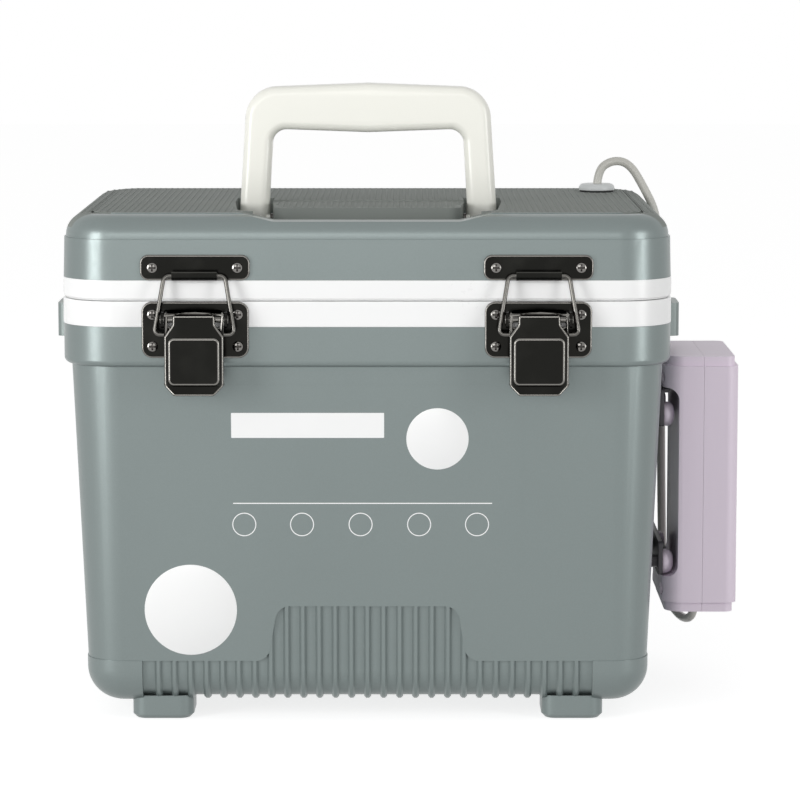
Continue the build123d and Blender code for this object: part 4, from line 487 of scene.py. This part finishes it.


# %% [markdown]
# ## The hoses
# A clear hose leaves the grommet on the lid, turns over the lid's end, runs down between the pump
# and the box and loops up into the pump's foot. A second one hangs from the grommet into the basin
# and ends in the air stone. Both cross the lid's hinge, and each is a mesh tube. A circle could be
# swept along straight legs and arcs, but a limp hose bends nearly everywhere, so its line is a
# NURBS spline that its points pull on.

# %% Hose routes
HOSE_DIAMETER = 4.4 * MM
AIR_HOSE_POINTS = [
    (118.7, 62.0, 246.6), (118.7, 62.0, 259.3), (126.6, 61.7, 265.2), (135.7, 61.2, 263.6),
    (143.2, 60.2, 251.2), (150.4, 58.0, 236.4), (151.6, 54.6, 208.0), (152.2, 50.8, 163.0),
    (152.6, 47.4, 118.0), (153.1, 45.4, 78.0), (153.8, 44.4, 53.0), (156.4, 38.6, 35.6),
    (161.6, 23.6, 29.9), (165.6, 12.2, 31.0), (167.45, 7.0, 37.2), (167.45, 7.0, 48.5),
]
INNER_HOSE_POINTS = [
    (118.7, 62.0, 246.6), (118.7, 62.0, 199.0), (117.0, 61.4, 164.0), (113.6, 59.8, 126.0),
    (108.6, 57.4, 88.0), (102.6, 55.6, 62.0), (95.4, 54.0, 45.0), (87.6, 51.6, 37.2),
    (84.0, 47.0, 35.5), (84.0, 39.6, 35.5),
]
print("route points", len(AIR_HOSE_POINTS), len(INNER_HOSE_POINTS))

# %% [markdown]
# The curve is made twice. Without thickness it is the hose's middle line, which nothing here reads,
# and with a radius it is the tube itself with its ends closed.

# %% Hose tubes
STEPS_ALONG = 10
STEPS_AROUND = 5


def hose_curve(name, points, radius):
    """A NURBS line along the route. With a radius it is a closed tube."""
    curve = bpy.data.curves.new(name, "CURVE")
    curve.dimensions = "3D"
    curve.resolution_u = STEPS_ALONG
    curve.bevel_depth = radius
    curve.bevel_resolution = STEPS_AROUND
    curve.use_fill_caps = radius > 0
    spline = curve.splines.new("NURBS")
    spline.points.add(len(points) - 1)
    for point, place in zip(spline.points, points):
        point.co = (*[value * MM for value in place], 1)
    spline.order_u = 3
    spline.use_endpoint_u = True
    return bpy.data.objects.new(name, curve)


def hose(name, points):
    """A milky tube along the route, standing for the solid of that name."""
    line_mesh = bpy.data.meshes.new_from_object(hose_curve(name + "_line", points, 0))
    mesh = bpy.data.meshes.new_from_object(hose_curve(name, points, HOSE_DIAMETER / 2))
    mesh.shade_smooth()
    mesh.materials.clear()
    mesh.materials.append(finishes["hose_clear"])
    tube = bpy.data.objects.new(name + "_tube", mesh)
    bpy.context.scene.collection.objects.link(tube)
    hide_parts(name)
    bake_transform(tube)


hose("air_hose", AIR_HOSE_POINTS)
hose("air_hose_inner", INNER_HOSE_POINTS)

# %% [markdown]
# ## Round edges
# A CAD solid has knife edges, and a knife edge catches no light. A copy of its mesh is welded,
# its flat areas are joined into single faces, and the edges that are still sharp are bevelled by
# the radius that moulding or pressing leaves. The copy then stands for the solid. A bevelled
# shader normal would be quicker, but the exported mesh would keep its knife edges.

# %% Welded copies
WELD = 0.004 * MM
FLAT_ANGLE = math.radians(0.6)


def welded(node):
    """A copy of a solid's mesh, welded, with its flat areas joined."""
    form = bmesh.new()
    form.from_mesh(frame["nodes"][node].data)
    bmesh.ops.remove_doubles(form, verts=form.verts, dist=WELD)
    bmesh.ops.dissolve_limit(
        form, angle_limit=FLAT_ANGLE, verts=form.verts, edges=form.edges,
        use_dissolve_boundaries=False,
    )
    form.normal_update()
    return form


# %% [markdown]
# Thick mouldings have all their edges rounded. A pressed plate has only its outline rounded,
# because its bends and ears have no room for it. A latch lever is pressed too, and the raised
# pad where a thumb rests has a wider round than its rim, so its edges are rounded in two goes.

# %% Which edges are rounded, and by how much
SHARP_ANGLE = math.radians(28)
FACING_FRONT = 0.999
FRONT_DEPTH = 0.02 * MM
ROUND_STEPS = 2
PAD_ROUND = 1.1 * MM
PAD_STEPS = 4
PLATES = ("latch_strike", "latch_base")
LEVERS = ("lever",)


def front_outline(form, edges):
    """The outer edges of the broadest face that looks at the camera."""
    fronts = [face for face in form.faces if face.normal.y < -FACING_FRONT]
    broad = max(fronts, key=lambda face: face.calc_area()).calc_center_median().y
    plate = {f for f in fronts if abs(f.calc_center_median().y - broad) < FRONT_DEPTH}
    return [
        edge for edge in edges
        if edge.is_convex and len(plate.intersection(edge.link_faces)) == 1
    ]


def rounds_of(form, node, width):
    """The edges to round, in groups, each with its width and its steps."""
    edges = [
        edge for edge in form.edges
        if len(edge.link_faces) == 2 and edge.calc_face_angle(0) > SHARP_ANGLE
    ]
    if node.startswith(PLATES):
        return [(front_outline(form, edges), width, ROUND_STEPS)]
    if node.startswith(LEVERS):
        pad = front_outline(form, edges)
        rest = [edge for edge in edges if edge.is_convex and edge not in pad]
        return [(pad, PAD_ROUND, PAD_STEPS), (rest, width, ROUND_STEPS)]
    return [(edges, width, ROUND_STEPS)]


# %% [markdown]
# Bevel can keep its corners from crossing, but it then narrows every edge to suit the tightest
# one, and a pressed plate would stay sharp. So plates and levers are bevelled in full, and a
# corner that shoots past the solid for lack of room is laid back on the solid's skin.

# %% Corners that shot past
SPIKE_SHARE = 0.5


def pull_back(form, node, reach):
    """Corners that lie further than reach from the solid go back to its skin."""
    solid = welded(node)
    skin = BVHTree.FromBMesh(solid)
    solid.free()
    for vertex in form.verts:
        place, _, _, distance = skin.find_nearest(vertex.co)
        if distance > reach:
            vertex.co = place


# %% [markdown]
# A face attribute marks the faces that a rounding made, and the finishes paint those faces lighter,
# as a painted highlight along the edges. The bails and the latch pins are round wire, so all of
# their surface takes a share of the lighter metal tint. A weighted normal keeps flat faces flat in
# the shading, next to the narrow round ones.

# %% Softened copies
# Wires and pins take this share of the lighter metal tint all over.
LIGHTER_TINT_ALL_OVER = {"bail": 0.5, "latch_pin": 0.8}
SOFT_ANGLE = 40
ROUND_ANGLE = 60


def softened(node, width):
    """Stands for a solid, with its edges rounded by width."""
    form = welded(node)
    rounds = rounds_of(form, node, width) if width else []
    worn = form.faces.layers.float.new("worn")
    for edges, offset, steps in rounds:
        rounded = bmesh.ops.bevel(
            form, geom=edges, offset=offset, offset_type="OFFSET", segments=steps, profile=0.5,
            affect="EDGES", clamp_overlap=not node.startswith(PLATES + LEVERS), material=-1,
        )
        # Rounded faces are marked for the painted highlight.
        for face in rounded["faces"]:
            face[worn] = 1.0
    if rounds:
        pull_back(form, node, SPIKE_SHARE * width)
    for kind, share in LIGHTER_TINT_ALL_OVER.items():
        if node.startswith(kind):
            for face in form.faces:
                face[worn] = share
    smooth_angle = SOFT_ANGLE if width else ROUND_ANGLE
    piece = finish_piece(node + "_soft", form, body_of[node], slot_of[node], smooth_angle)
    weights = piece.modifiers.new("weights", "WEIGHTED_NORMAL")
    weights.keep_sharp = True
    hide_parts(node)
    print(node, len(piece.data.polygons))


# %% [markdown]
# Each solid's edges get the radius that its making leaves: half a millimetre or less on moulded
# plastic, more on the lugs and the pressed steel, and none on what is already round. These
# widths are in millimetres.

# %% Soften the solids
SOFT_EDGES = {
    "tub_shell": 0.5, "lid_shell": 0.5, "tub_liner": 0.5, "lid_liner": 0.4, "handle": 0,
    "strap_lug_left": 0.7, "strap_lug_right": 0.7, "pump_case_inner": 0.5,
    "pump_case_outer": 0.5, "pump_brackets": 0.4, "grommet": 0.2, "grommet_ring": 0.2,
    "pump_switch": 0.3, "hinge_pin_left": 0, "hinge_pin_right": 0,
}
LATCH_EDGES = {"latch_strike": 0.7, "latch_base": 0.7, "lever": 0.85, "bail": 0, "latch_pin": 0.15}
for hand in HANDS:
    SOFT_EDGES.update({f"{kind}_{hand}": width for kind, width in LATCH_EDGES.items()})
for node, width in SOFT_EDGES.items():
    softened(node, width * MM)

# %% [markdown]
# ## Screws and knobs
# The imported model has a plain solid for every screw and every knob, and several of them share a
# node. A bmesh has no list of its separate pieces, so they are found by walking from corner to
# corner along the edges. The box round each piece then says where its head goes and how big.


# %% The separate pieces of a solid
def islands(node):
    """The low and the high corner of each separate piece of a solid."""
    form = welded(node)
    waiting = set(form.verts)
    found = []
    while waiting:
        front = [waiting.pop()]
        members = list(front)
        while front:
            vertex = front.pop()
            for edge in vertex.link_edges:
                other = edge.other_vert(vertex)
                if other in waiting:
                    waiting.remove(other)
                    front.append(other)
                    members.append(other)
        axes = [[vertex.co[axis] for vertex in members] for axis in range(3)]
        found.append((Vector([min(a) for a in axes]), Vector([max(a) for a in axes])))
    form.free()
    return found


# %% [markdown]
# Latch screws have low domed heads with a cross recess for the driver. A head could be a squashed
# sphere with the cross drawn on, but a recess shows at a glance by its own shadow. So a head is
# spun from its profile, and the cross is cut into its faces and pushed in. The head takes the
# lighter tint all over as a painted highlight, and the recess keeps the dark tint as a painted
# shade.


# %% Spun forms
def spun(profile, steps):
    """A solid of revolution about Z from (radius, height) pairs."""
    form = bmesh.new()
    corners = [form.verts.new((radius, 0, height)) for radius, height in profile]
    lines = [form.edges.new(pair) for pair in zip(corners, corners[1:])]
    bmesh.ops.spin(
        form, geom=corners + lines, axis=(0, 0, 1), cent=(0, 0, 0), angle=2 * math.pi,
        steps=steps, use_merge=True,
    )
    bmesh.ops.remove_doubles(form, verts=form.verts, dist=WELD)
    bmesh.ops.recalc_face_normals(form, faces=form.faces)
    return form


def dome(profile, radius, height, steps):
    """A spun form from a profile in shares of its radius and its height."""
    return spun([(radius * out, height * up) for out, up in profile], steps)


# %% Screw heads
HEAD_HEIGHT = 1.4 * MM
HEAD_PROFILE = ((1, 0), (1, 0.35), (0.9, 0.68), (0.62, 0.9), (0.3, 0.98), (0, 1))
HEAD_STEPS = 28
CROSS_HALF_WIDTH = 0.17
CROSS_REACH = 0.66
CROSS_DEPTH = 0.55
CROSS_FLOOR = 0.8
CROSS_FACING_UP = 0.4
CUT_WELD = 0.0001 * MM


def screw_head(radius):
    """A domed head with a cross recess, its seat at the origin and its top along Z."""
    form = dome(HEAD_PROFILE, radius, HEAD_HEIGHT, HEAD_STEPS)
    worn = form.faces.layers.float.new("worn")
    for face in form.faces:
        face[worn] = 1.0
    half, reach = radius * CROSS_HALF_WIDTH, radius * CROSS_REACH
    for axis in ((1, 0, 0), (0, 1, 0)):
        for offset in (-reach, -half, half, reach):
            bmesh.ops.bisect_plane(
                form, geom=form.verts[:] + form.edges[:] + form.faces[:], dist=CUT_WELD,
                plane_co=Vector(axis) * offset, plane_no=axis,
            )
    cross = []
    for face in form.faces:
        across, along = sorted(abs(value) for value in face.calc_center_median().xy)
        if face.normal.z > CROSS_FACING_UP and across < half and along < reach:
            cross.append(face)
    sunk = bmesh.ops.extrude_face_region(form, geom=cross)["geom"]
    bmesh.ops.delete(form, geom=cross, context="FACES")
    floor_corners = [item for item in sunk if isinstance(item, bmesh.types.BMVert)]
    bmesh.ops.translate(form, verts=floor_corners, vec=(0, 0, -CROSS_DEPTH * HEAD_HEIGHT))
    bmesh.ops.scale(form, verts=floor_corners, vec=(CROSS_FLOOR, CROSS_FLOOR, 1))
    # The recess faces keep the dark tint, a painted shade in the cross.
    for item in sunk:
        if isinstance(item, bmesh.types.BMFace):
            item[worn] = 0.0
    return form


# %% [markdown]
# The pump's knobs are plain moulded domes, which a profile gives at once.

# %% Knobs
KNOB_HEIGHT = 5.3 * MM
KNOB_PROFILE = ((0.94, 0), (1, 0.08), (1, 0.4), (0.93, 0.66), (0.74, 0.88), (0.42, 1), (0, 1))
KNOB_STEPS = 36


def knob(radius):
    """A domed knob, its seat at the origin and its top along Z."""
    return dome(KNOB_PROFILE, radius, KNOB_HEIGHT, KNOB_STEPS)


# %% [markdown]
# All the heads of a node go into one mesh, so that one object can stand for the whole node.
# Separate objects would do as well, but they would be many to name and to place. The screws of
# the lugs and the pump's knobs look out from their own side of the box, and the latch screws
# look to the front.


# %% Heads where the solids are
def headed(node, make, height, facing, smooth_angle=30):
    """Stands for a solid: a made form at the outer end of each of its pieces."""
    whole = bmesh.new()
    whole.faces.layers.float.new("worn")
    for low, high in islands(node):
        way = Vector(facing(low))
        size, middle = high - low, (low + high) / 2
        front = middle + Vector([w * extent / 2 for w, extent in zip(way, size)])
        form = make(max(size[axis] for axis in range(3) if abs(way[axis]) < 0.5) / 2)
        turn = Vector((0, 0, 1)).rotation_difference(way).to_matrix().to_4x4()
        seat = Matrix.Translation(front - way * height)
        bmesh.ops.transform(form, matrix=seat @ turn, verts=form.verts)
        mesh = bpy.data.meshes.new("part")
        form.to_mesh(mesh)
        form.free()
        whole.from_mesh(mesh)
        bpy.data.meshes.remove(mesh)
    piece = finish_piece(node + "_heads", whole, body_of[node], slot_of[node], smooth_angle)
    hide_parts(node)
    print(node, len(piece.data.polygons))


def to_front(low):
    return (0, -1, 0)


def to_own_side(low):
    return (math.copysign(1, low.x), 0, 0)


headed("base_screws", screw_head, HEAD_HEIGHT, to_front)
headed("strike_screws", screw_head, HEAD_HEIGHT, to_front)
headed("lug_screws", screw_head, HEAD_HEIGHT, to_own_side)
headed("pump_knobs", knob, KNOB_HEIGHT, to_own_side, 45)

# %% [markdown]
# ## Grip ribs on the lid
# The lid's flat panel carries fine ribs from front to back, so that a tackle tray or a hand
# doesn't slide on it. A bump could draw them, but they show at the lid's edge. Rays cast down
# onto the lid find where the panel is really flat, and a rib is only laid there, so ribs stop at
# the pocket, at the grommet and at the rounded corners.

# %% Where a rib can lie
RIB_WIDTH = 1.3 * MM
RIB_STEP = 1.5 * MM
RIB_MARGIN = 1.6 * MM
RIB_SHORTEST = 3 * RIB_WIDTH
LEVEL_PLAY = 0.1 * MM
RAY_START_Z = PANEL_Z * 1.5
PANEL_HALF_Y = 88.0 * MM
GROMMET_PLACE = Vector((118.7, 62.0)) * MM
GROMMET_CLEAR = 11.5 * MM

form = bmesh.new()
form.from_mesh(frame["nodes"]["lid_shell"].data)
lid_tree = BVHTree.FromBMesh(form)
form.free()


def lid_height(x, y):
    """The height of the lid's skin at this place, or 0 past its edge."""
    hit = lid_tree.ray_cast(Vector((x, y, RAY_START_Z)), Vector((0, 0, -1)))[0]
    return hit.z if hit else 0.0


def on_panel(x, y, level):
    """True where the lid is flat at this level, with the rib's margin round it."""
    if (Vector((x, y)) - GROMMET_PLACE).length < GROMMET_CLEAR:
        return False
    sides = ((0, 0), (0, RIB_MARGIN), (0, -RIB_MARGIN))
    if level == PANEL_Z:
        sides += ((RIB_MARGIN, 0), (-RIB_MARGIN, 0))
    return all(abs(lid_height(x + dx, y + dy) - level) < LEVEL_PLAY for dx, dy in sides)


def runs(x, level):
    """The stretches of Y over which a rib can lie at this X."""
    found, start = [], None
    steps = int(2 * PANEL_HALF_Y / RIB_STEP)
    for step in range(steps + 1):
        y = -PANEL_HALF_Y + step * RIB_STEP
        clear = step < steps and on_panel(x, y, level)
        if clear and start is None:
            start = y
        if not clear and start is not None:
            found.append((start, y - RIB_STEP))
            start = None
    return [(first, last) for first, last in found if last - first > RIB_SHORTEST]


print("stretches along the middle", len(runs(0, PANEL_Z)))

# %% [markdown]
# A rib is a stretched cube half sunk in the lid, whose upper edges are then rounded all at once.
# On the rounded ends, past the panel, a rib lies at the height that the lid has there.

# %% Lay the ribs
RIB_PITCH = 3.0 * MM
RIB_HEIGHT = 0.3 * MM
RIB_ROUND = 0.3 * MM
RIB_FACING_UP = 0.9
PANEL_HALF_X = 131.0 * MM
SHOULDER_HALF_X = 138.0 * MM

ribs = bmesh.new()
count = int(2 * SHOULDER_HALF_X / RIB_PITCH)
for index in range(count + 1):
    x = (index - count / 2) * RIB_PITCH
    level = PANEL_Z if abs(x) < PANEL_HALF_X else lid_height(x, 0)
    for first, last in runs(x, level):
        made = bmesh.ops.create_cube(ribs, size=1.0)["verts"]
        size = (RIB_WIDTH, last - first, 2 * RIB_HEIGHT)
        place = Matrix.Translation((x, (first + last) / 2, level))
        bmesh.ops.transform(ribs, matrix=place @ Matrix.Diagonal((*size, 1)), verts=made)
bmesh.ops.recalc_face_normals(ribs, faces=ribs.faces)
tops = [face for face in ribs.faces if face.normal.z > RIB_FACING_UP]
crests = list({edge for face in tops for edge in face.edges})
bmesh.ops.bevel(
    ribs, geom=crests, offset=RIB_ROUND, offset_type="OFFSET", segments=2, profile=0.5,
    affect="EDGES", clamp_overlap=True, material=-1,
)
panel_ribs = finish_piece("lid_ribs", ribs, "lid", "body_grey", 60)
print("ribs", len(panel_ribs.data.polygons))

# %% [markdown]
# ## Plain labels
# A box like this carries a thin film and a round label on its front. Here they are plain: a film
# in the body's colour with a bar, a disc and a line over five rings, and a larger disc below.
# They lie on the front wall, which leans in toward the floor by two and a half degrees. They
# could be painted into the wall's finish, but a film with a thickness has an edge that shines.

# %% The front wall
WALL_TOP = Vector((0, -100.6, 175.5)) * MM
WALL_LEAN = math.atan(0.04366)
WALL_TURN = Matrix.Rotation(math.pi / 2 + WALL_LEAN, 4, "X")


def wall_place(x, z, lift):
    """The transform that lays a flat form, facing Z, on the front wall at this X and Z."""
    depth = WALL_TOP.y + (WALL_TOP.z - z) * math.tan(WALL_LEAN)
    out = Vector((0, -math.cos(WALL_LEAN), -math.sin(WALL_LEAN))) * lift
    return Matrix.Translation(Vector((x, depth, z)) + out) @ WALL_TURN


def label(name, form, x, z, slot, lift=0.0):
    """Lays a form on the front wall at X and Z in millimetres."""
    bmesh.ops.transform(form, matrix=wall_place(x * MM, z * MM, lift), verts=form.verts)
    finish_piece(name, form, "tub", slot, 30)
    print(name)


# %% [markdown]
# A disc and a ring are spun, and a film is a flat cube whose upright edges are rounded. Each has
# its back at zero, so that it lies on the wall and doesn't sink into it.

# %% Discs, rings and sheets
DISC_STEPS = 72
RING_STEPS = 40
CORNER_STEPS = 6


def disc_form(radius, thickness):
    shape = ((0, 0), (radius, 0), (radius, 0.5 * thickness), (radius - thickness, thickness))
    return spun([*shape, (0, thickness)], DISC_STEPS)


def ring_form(radius, width, thickness):
    shape = ((radius - width, 0), (radius, 0), (radius, thickness), (radius - width, thickness))
    return spun([*shape, shape[0]], RING_STEPS)


def sheet_form(width, height, radius, thickness):
    """A thin rectangle with round corners, its back at 0."""
    form = bmesh.new()
    made = bmesh.ops.create_cube(form, size=1.0)["verts"]
    size = Matrix.Diagonal((width, height, thickness, 1))
    lifted = Matrix.Translation((0, 0, thickness / 2)) @ size
    bmesh.ops.transform(form, matrix=lifted, verts=made)
    upright = [e for e in form.edges if abs((e.verts[0].co - e.verts[1].co).z) > thickness / 2]
    bmesh.ops.bevel(
        form, geom=upright, offset=radius, offset_type="OFFSET", segments=CORNER_STEPS,
        profile=0.5, affect="EDGES", clamp_overlap=True, material=-1,
    )
    return form


# %% [markdown]
# The film lies on the wall, and the marks lie on the film, a twentieth of a millimetre thick, as
# ink would be. The round label is a sticker of its own, lower down.

# %% Lay the labels
FILM = 0.08 * MM
INK = 0.05 * MM
STICKER = 0.2 * MM
RING_PLACES = (-59.4, -31.5, -3.2, 25.1, 53.1)
RING_Z = 98.3

label("label_film", sheet_form(150.4 * MM, 90.9 * MM, 3 * MM, FILM), -0.2, 121.2, "body_grey")
label("label_bar", sheet_form(73.6 * MM, 12.2 * MM, 0.3 * MM, INK), -28.6, 146.9, "rim_white", FILM)
label("label_line", sheet_form(125.1 * MM, 0.5 * MM, 0.1 * MM, INK), -2.2, 108.7, "rim_white", FILM)
label("label_disc", disc_form(15 * MM, INK), 33.9, 140.3, "rim_white", FILM)
label("round_label", disc_form(22.4 * MM, STICKER), -85.7, 56.0, "rim_white")
for index, x in enumerate(RING_PLACES):
    label(f"label_ring_{index}", ring_form(5.8 * MM, 0.45 * MM, INK), x, RING_Z, "rim_white", FILM)

# %% [markdown]
# ## Studio
# The picture has a pure white ground and soft light from all sides. A brighter floor would give
# the white, but it would also wash out the object from below. So the floor glows only for rays
# from the camera, also by way of gloss or glass, and its paint still takes the soft shadow.

# %% Floor
WHITE = (1, 1, 1, 1)
FLOOR_PAINT = (0.5, 0.5, 0.5, 1)
FLOOR_GLOW = 0.78
FLOOR_HALF = 6.0
FLOOR_GAP = 0.5 * MM


def white_floor():
    """A floor that the camera sees as nearly white, with the object's soft shadow on it."""
    finish = Finish(bpy.data.materials.new("floor_white"))
    paint = finish.node("ShaderNodeBsdfDiffuse", None, {"Color": FLOOR_PAINT})
    glow = finish.node(
        "ShaderNodeEmission", None, {"Color": WHITE, "Strength": finish.seen() * FLOOR_GLOW}
    )
    both = finish.node("ShaderNodeAddShader", None, {0: paint, 1: glow})
    finish.node("ShaderNodeOutputMaterial", None, {"Surface": both})
    return finish.owner


form = bmesh.new()
bmesh.ops.create_grid(form, x_segments=1, y_segments=1, size=FLOOR_HALF)
mesh = bpy.data.meshes.new("floor")
form.to_mesh(mesh)
form.free()
mesh.materials.append(white_floor())
floor = bpy.data.objects.new("floor", mesh)
floor.location = (0, 0, -FLOOR_GAP)
bpy.context.scene.collection.objects.link(floor)
print("floor at", floor.location.z)

# %% [markdown]
# The world does the same. It is white where the camera sees it, which is the background, and
# dimmer as a light, so that it only fills the shadows that the lamps leave.

# %% World
WORLD_LIGHT = 0.42


def white_world():
    """White where the camera sees it, and dimmer as a light."""
    finish = Finish(bpy.data.worlds.new("world"))
    strength = finish.seen() * (1 - WORLD_LIGHT) + WORLD_LIGHT
    sky = finish.node("ShaderNodeBackground", None, {"Color": WHITE, "Strength": strength})
    finish.node("ShaderNodeOutputWorld", None, {"Surface": sky})
    return finish.owner


bpy.context.scene.world = white_world()
bpy.context.scene.view_settings.view_transform = "Standard"
print("world", bpy.context.scene.world.name)

# %% [markdown]
# Three soft boxes stand left, right and in front, as in a photographer's tent. Broad lamps give
# long soft streaks in the plated latches, where points of light would give only dots.

# %% Lamps
MIDDLE = Vector((0.02, 0, 0.14))


def lamp(name, place, size, power):
    """A soft box that faces the middle of the object."""
    data = bpy.data.lights.new(name, "AREA")
    data.shape = "RECTANGLE"
    data.size, data.size_y = size
    data.energy = power
    light = bpy.data.objects.new(name, data)
    light.location = place
    light.rotation_euler = (MIDDLE - Vector(place)).to_track_quat("-Z", "Y").to_euler()
    bpy.context.scene.collection.objects.link(light)
    print(name, power, "W")


lamp("left_box", (-1.15, -1.0, 0.30), (0.5, 0.8), 12.6)
lamp("right_box", (1.25, -0.9, 0.30), (0.35, 0.8), 7.0)
lamp("front_box", (-0.3, -1.9, 0.60), (1.2, 0.5), 5.4)
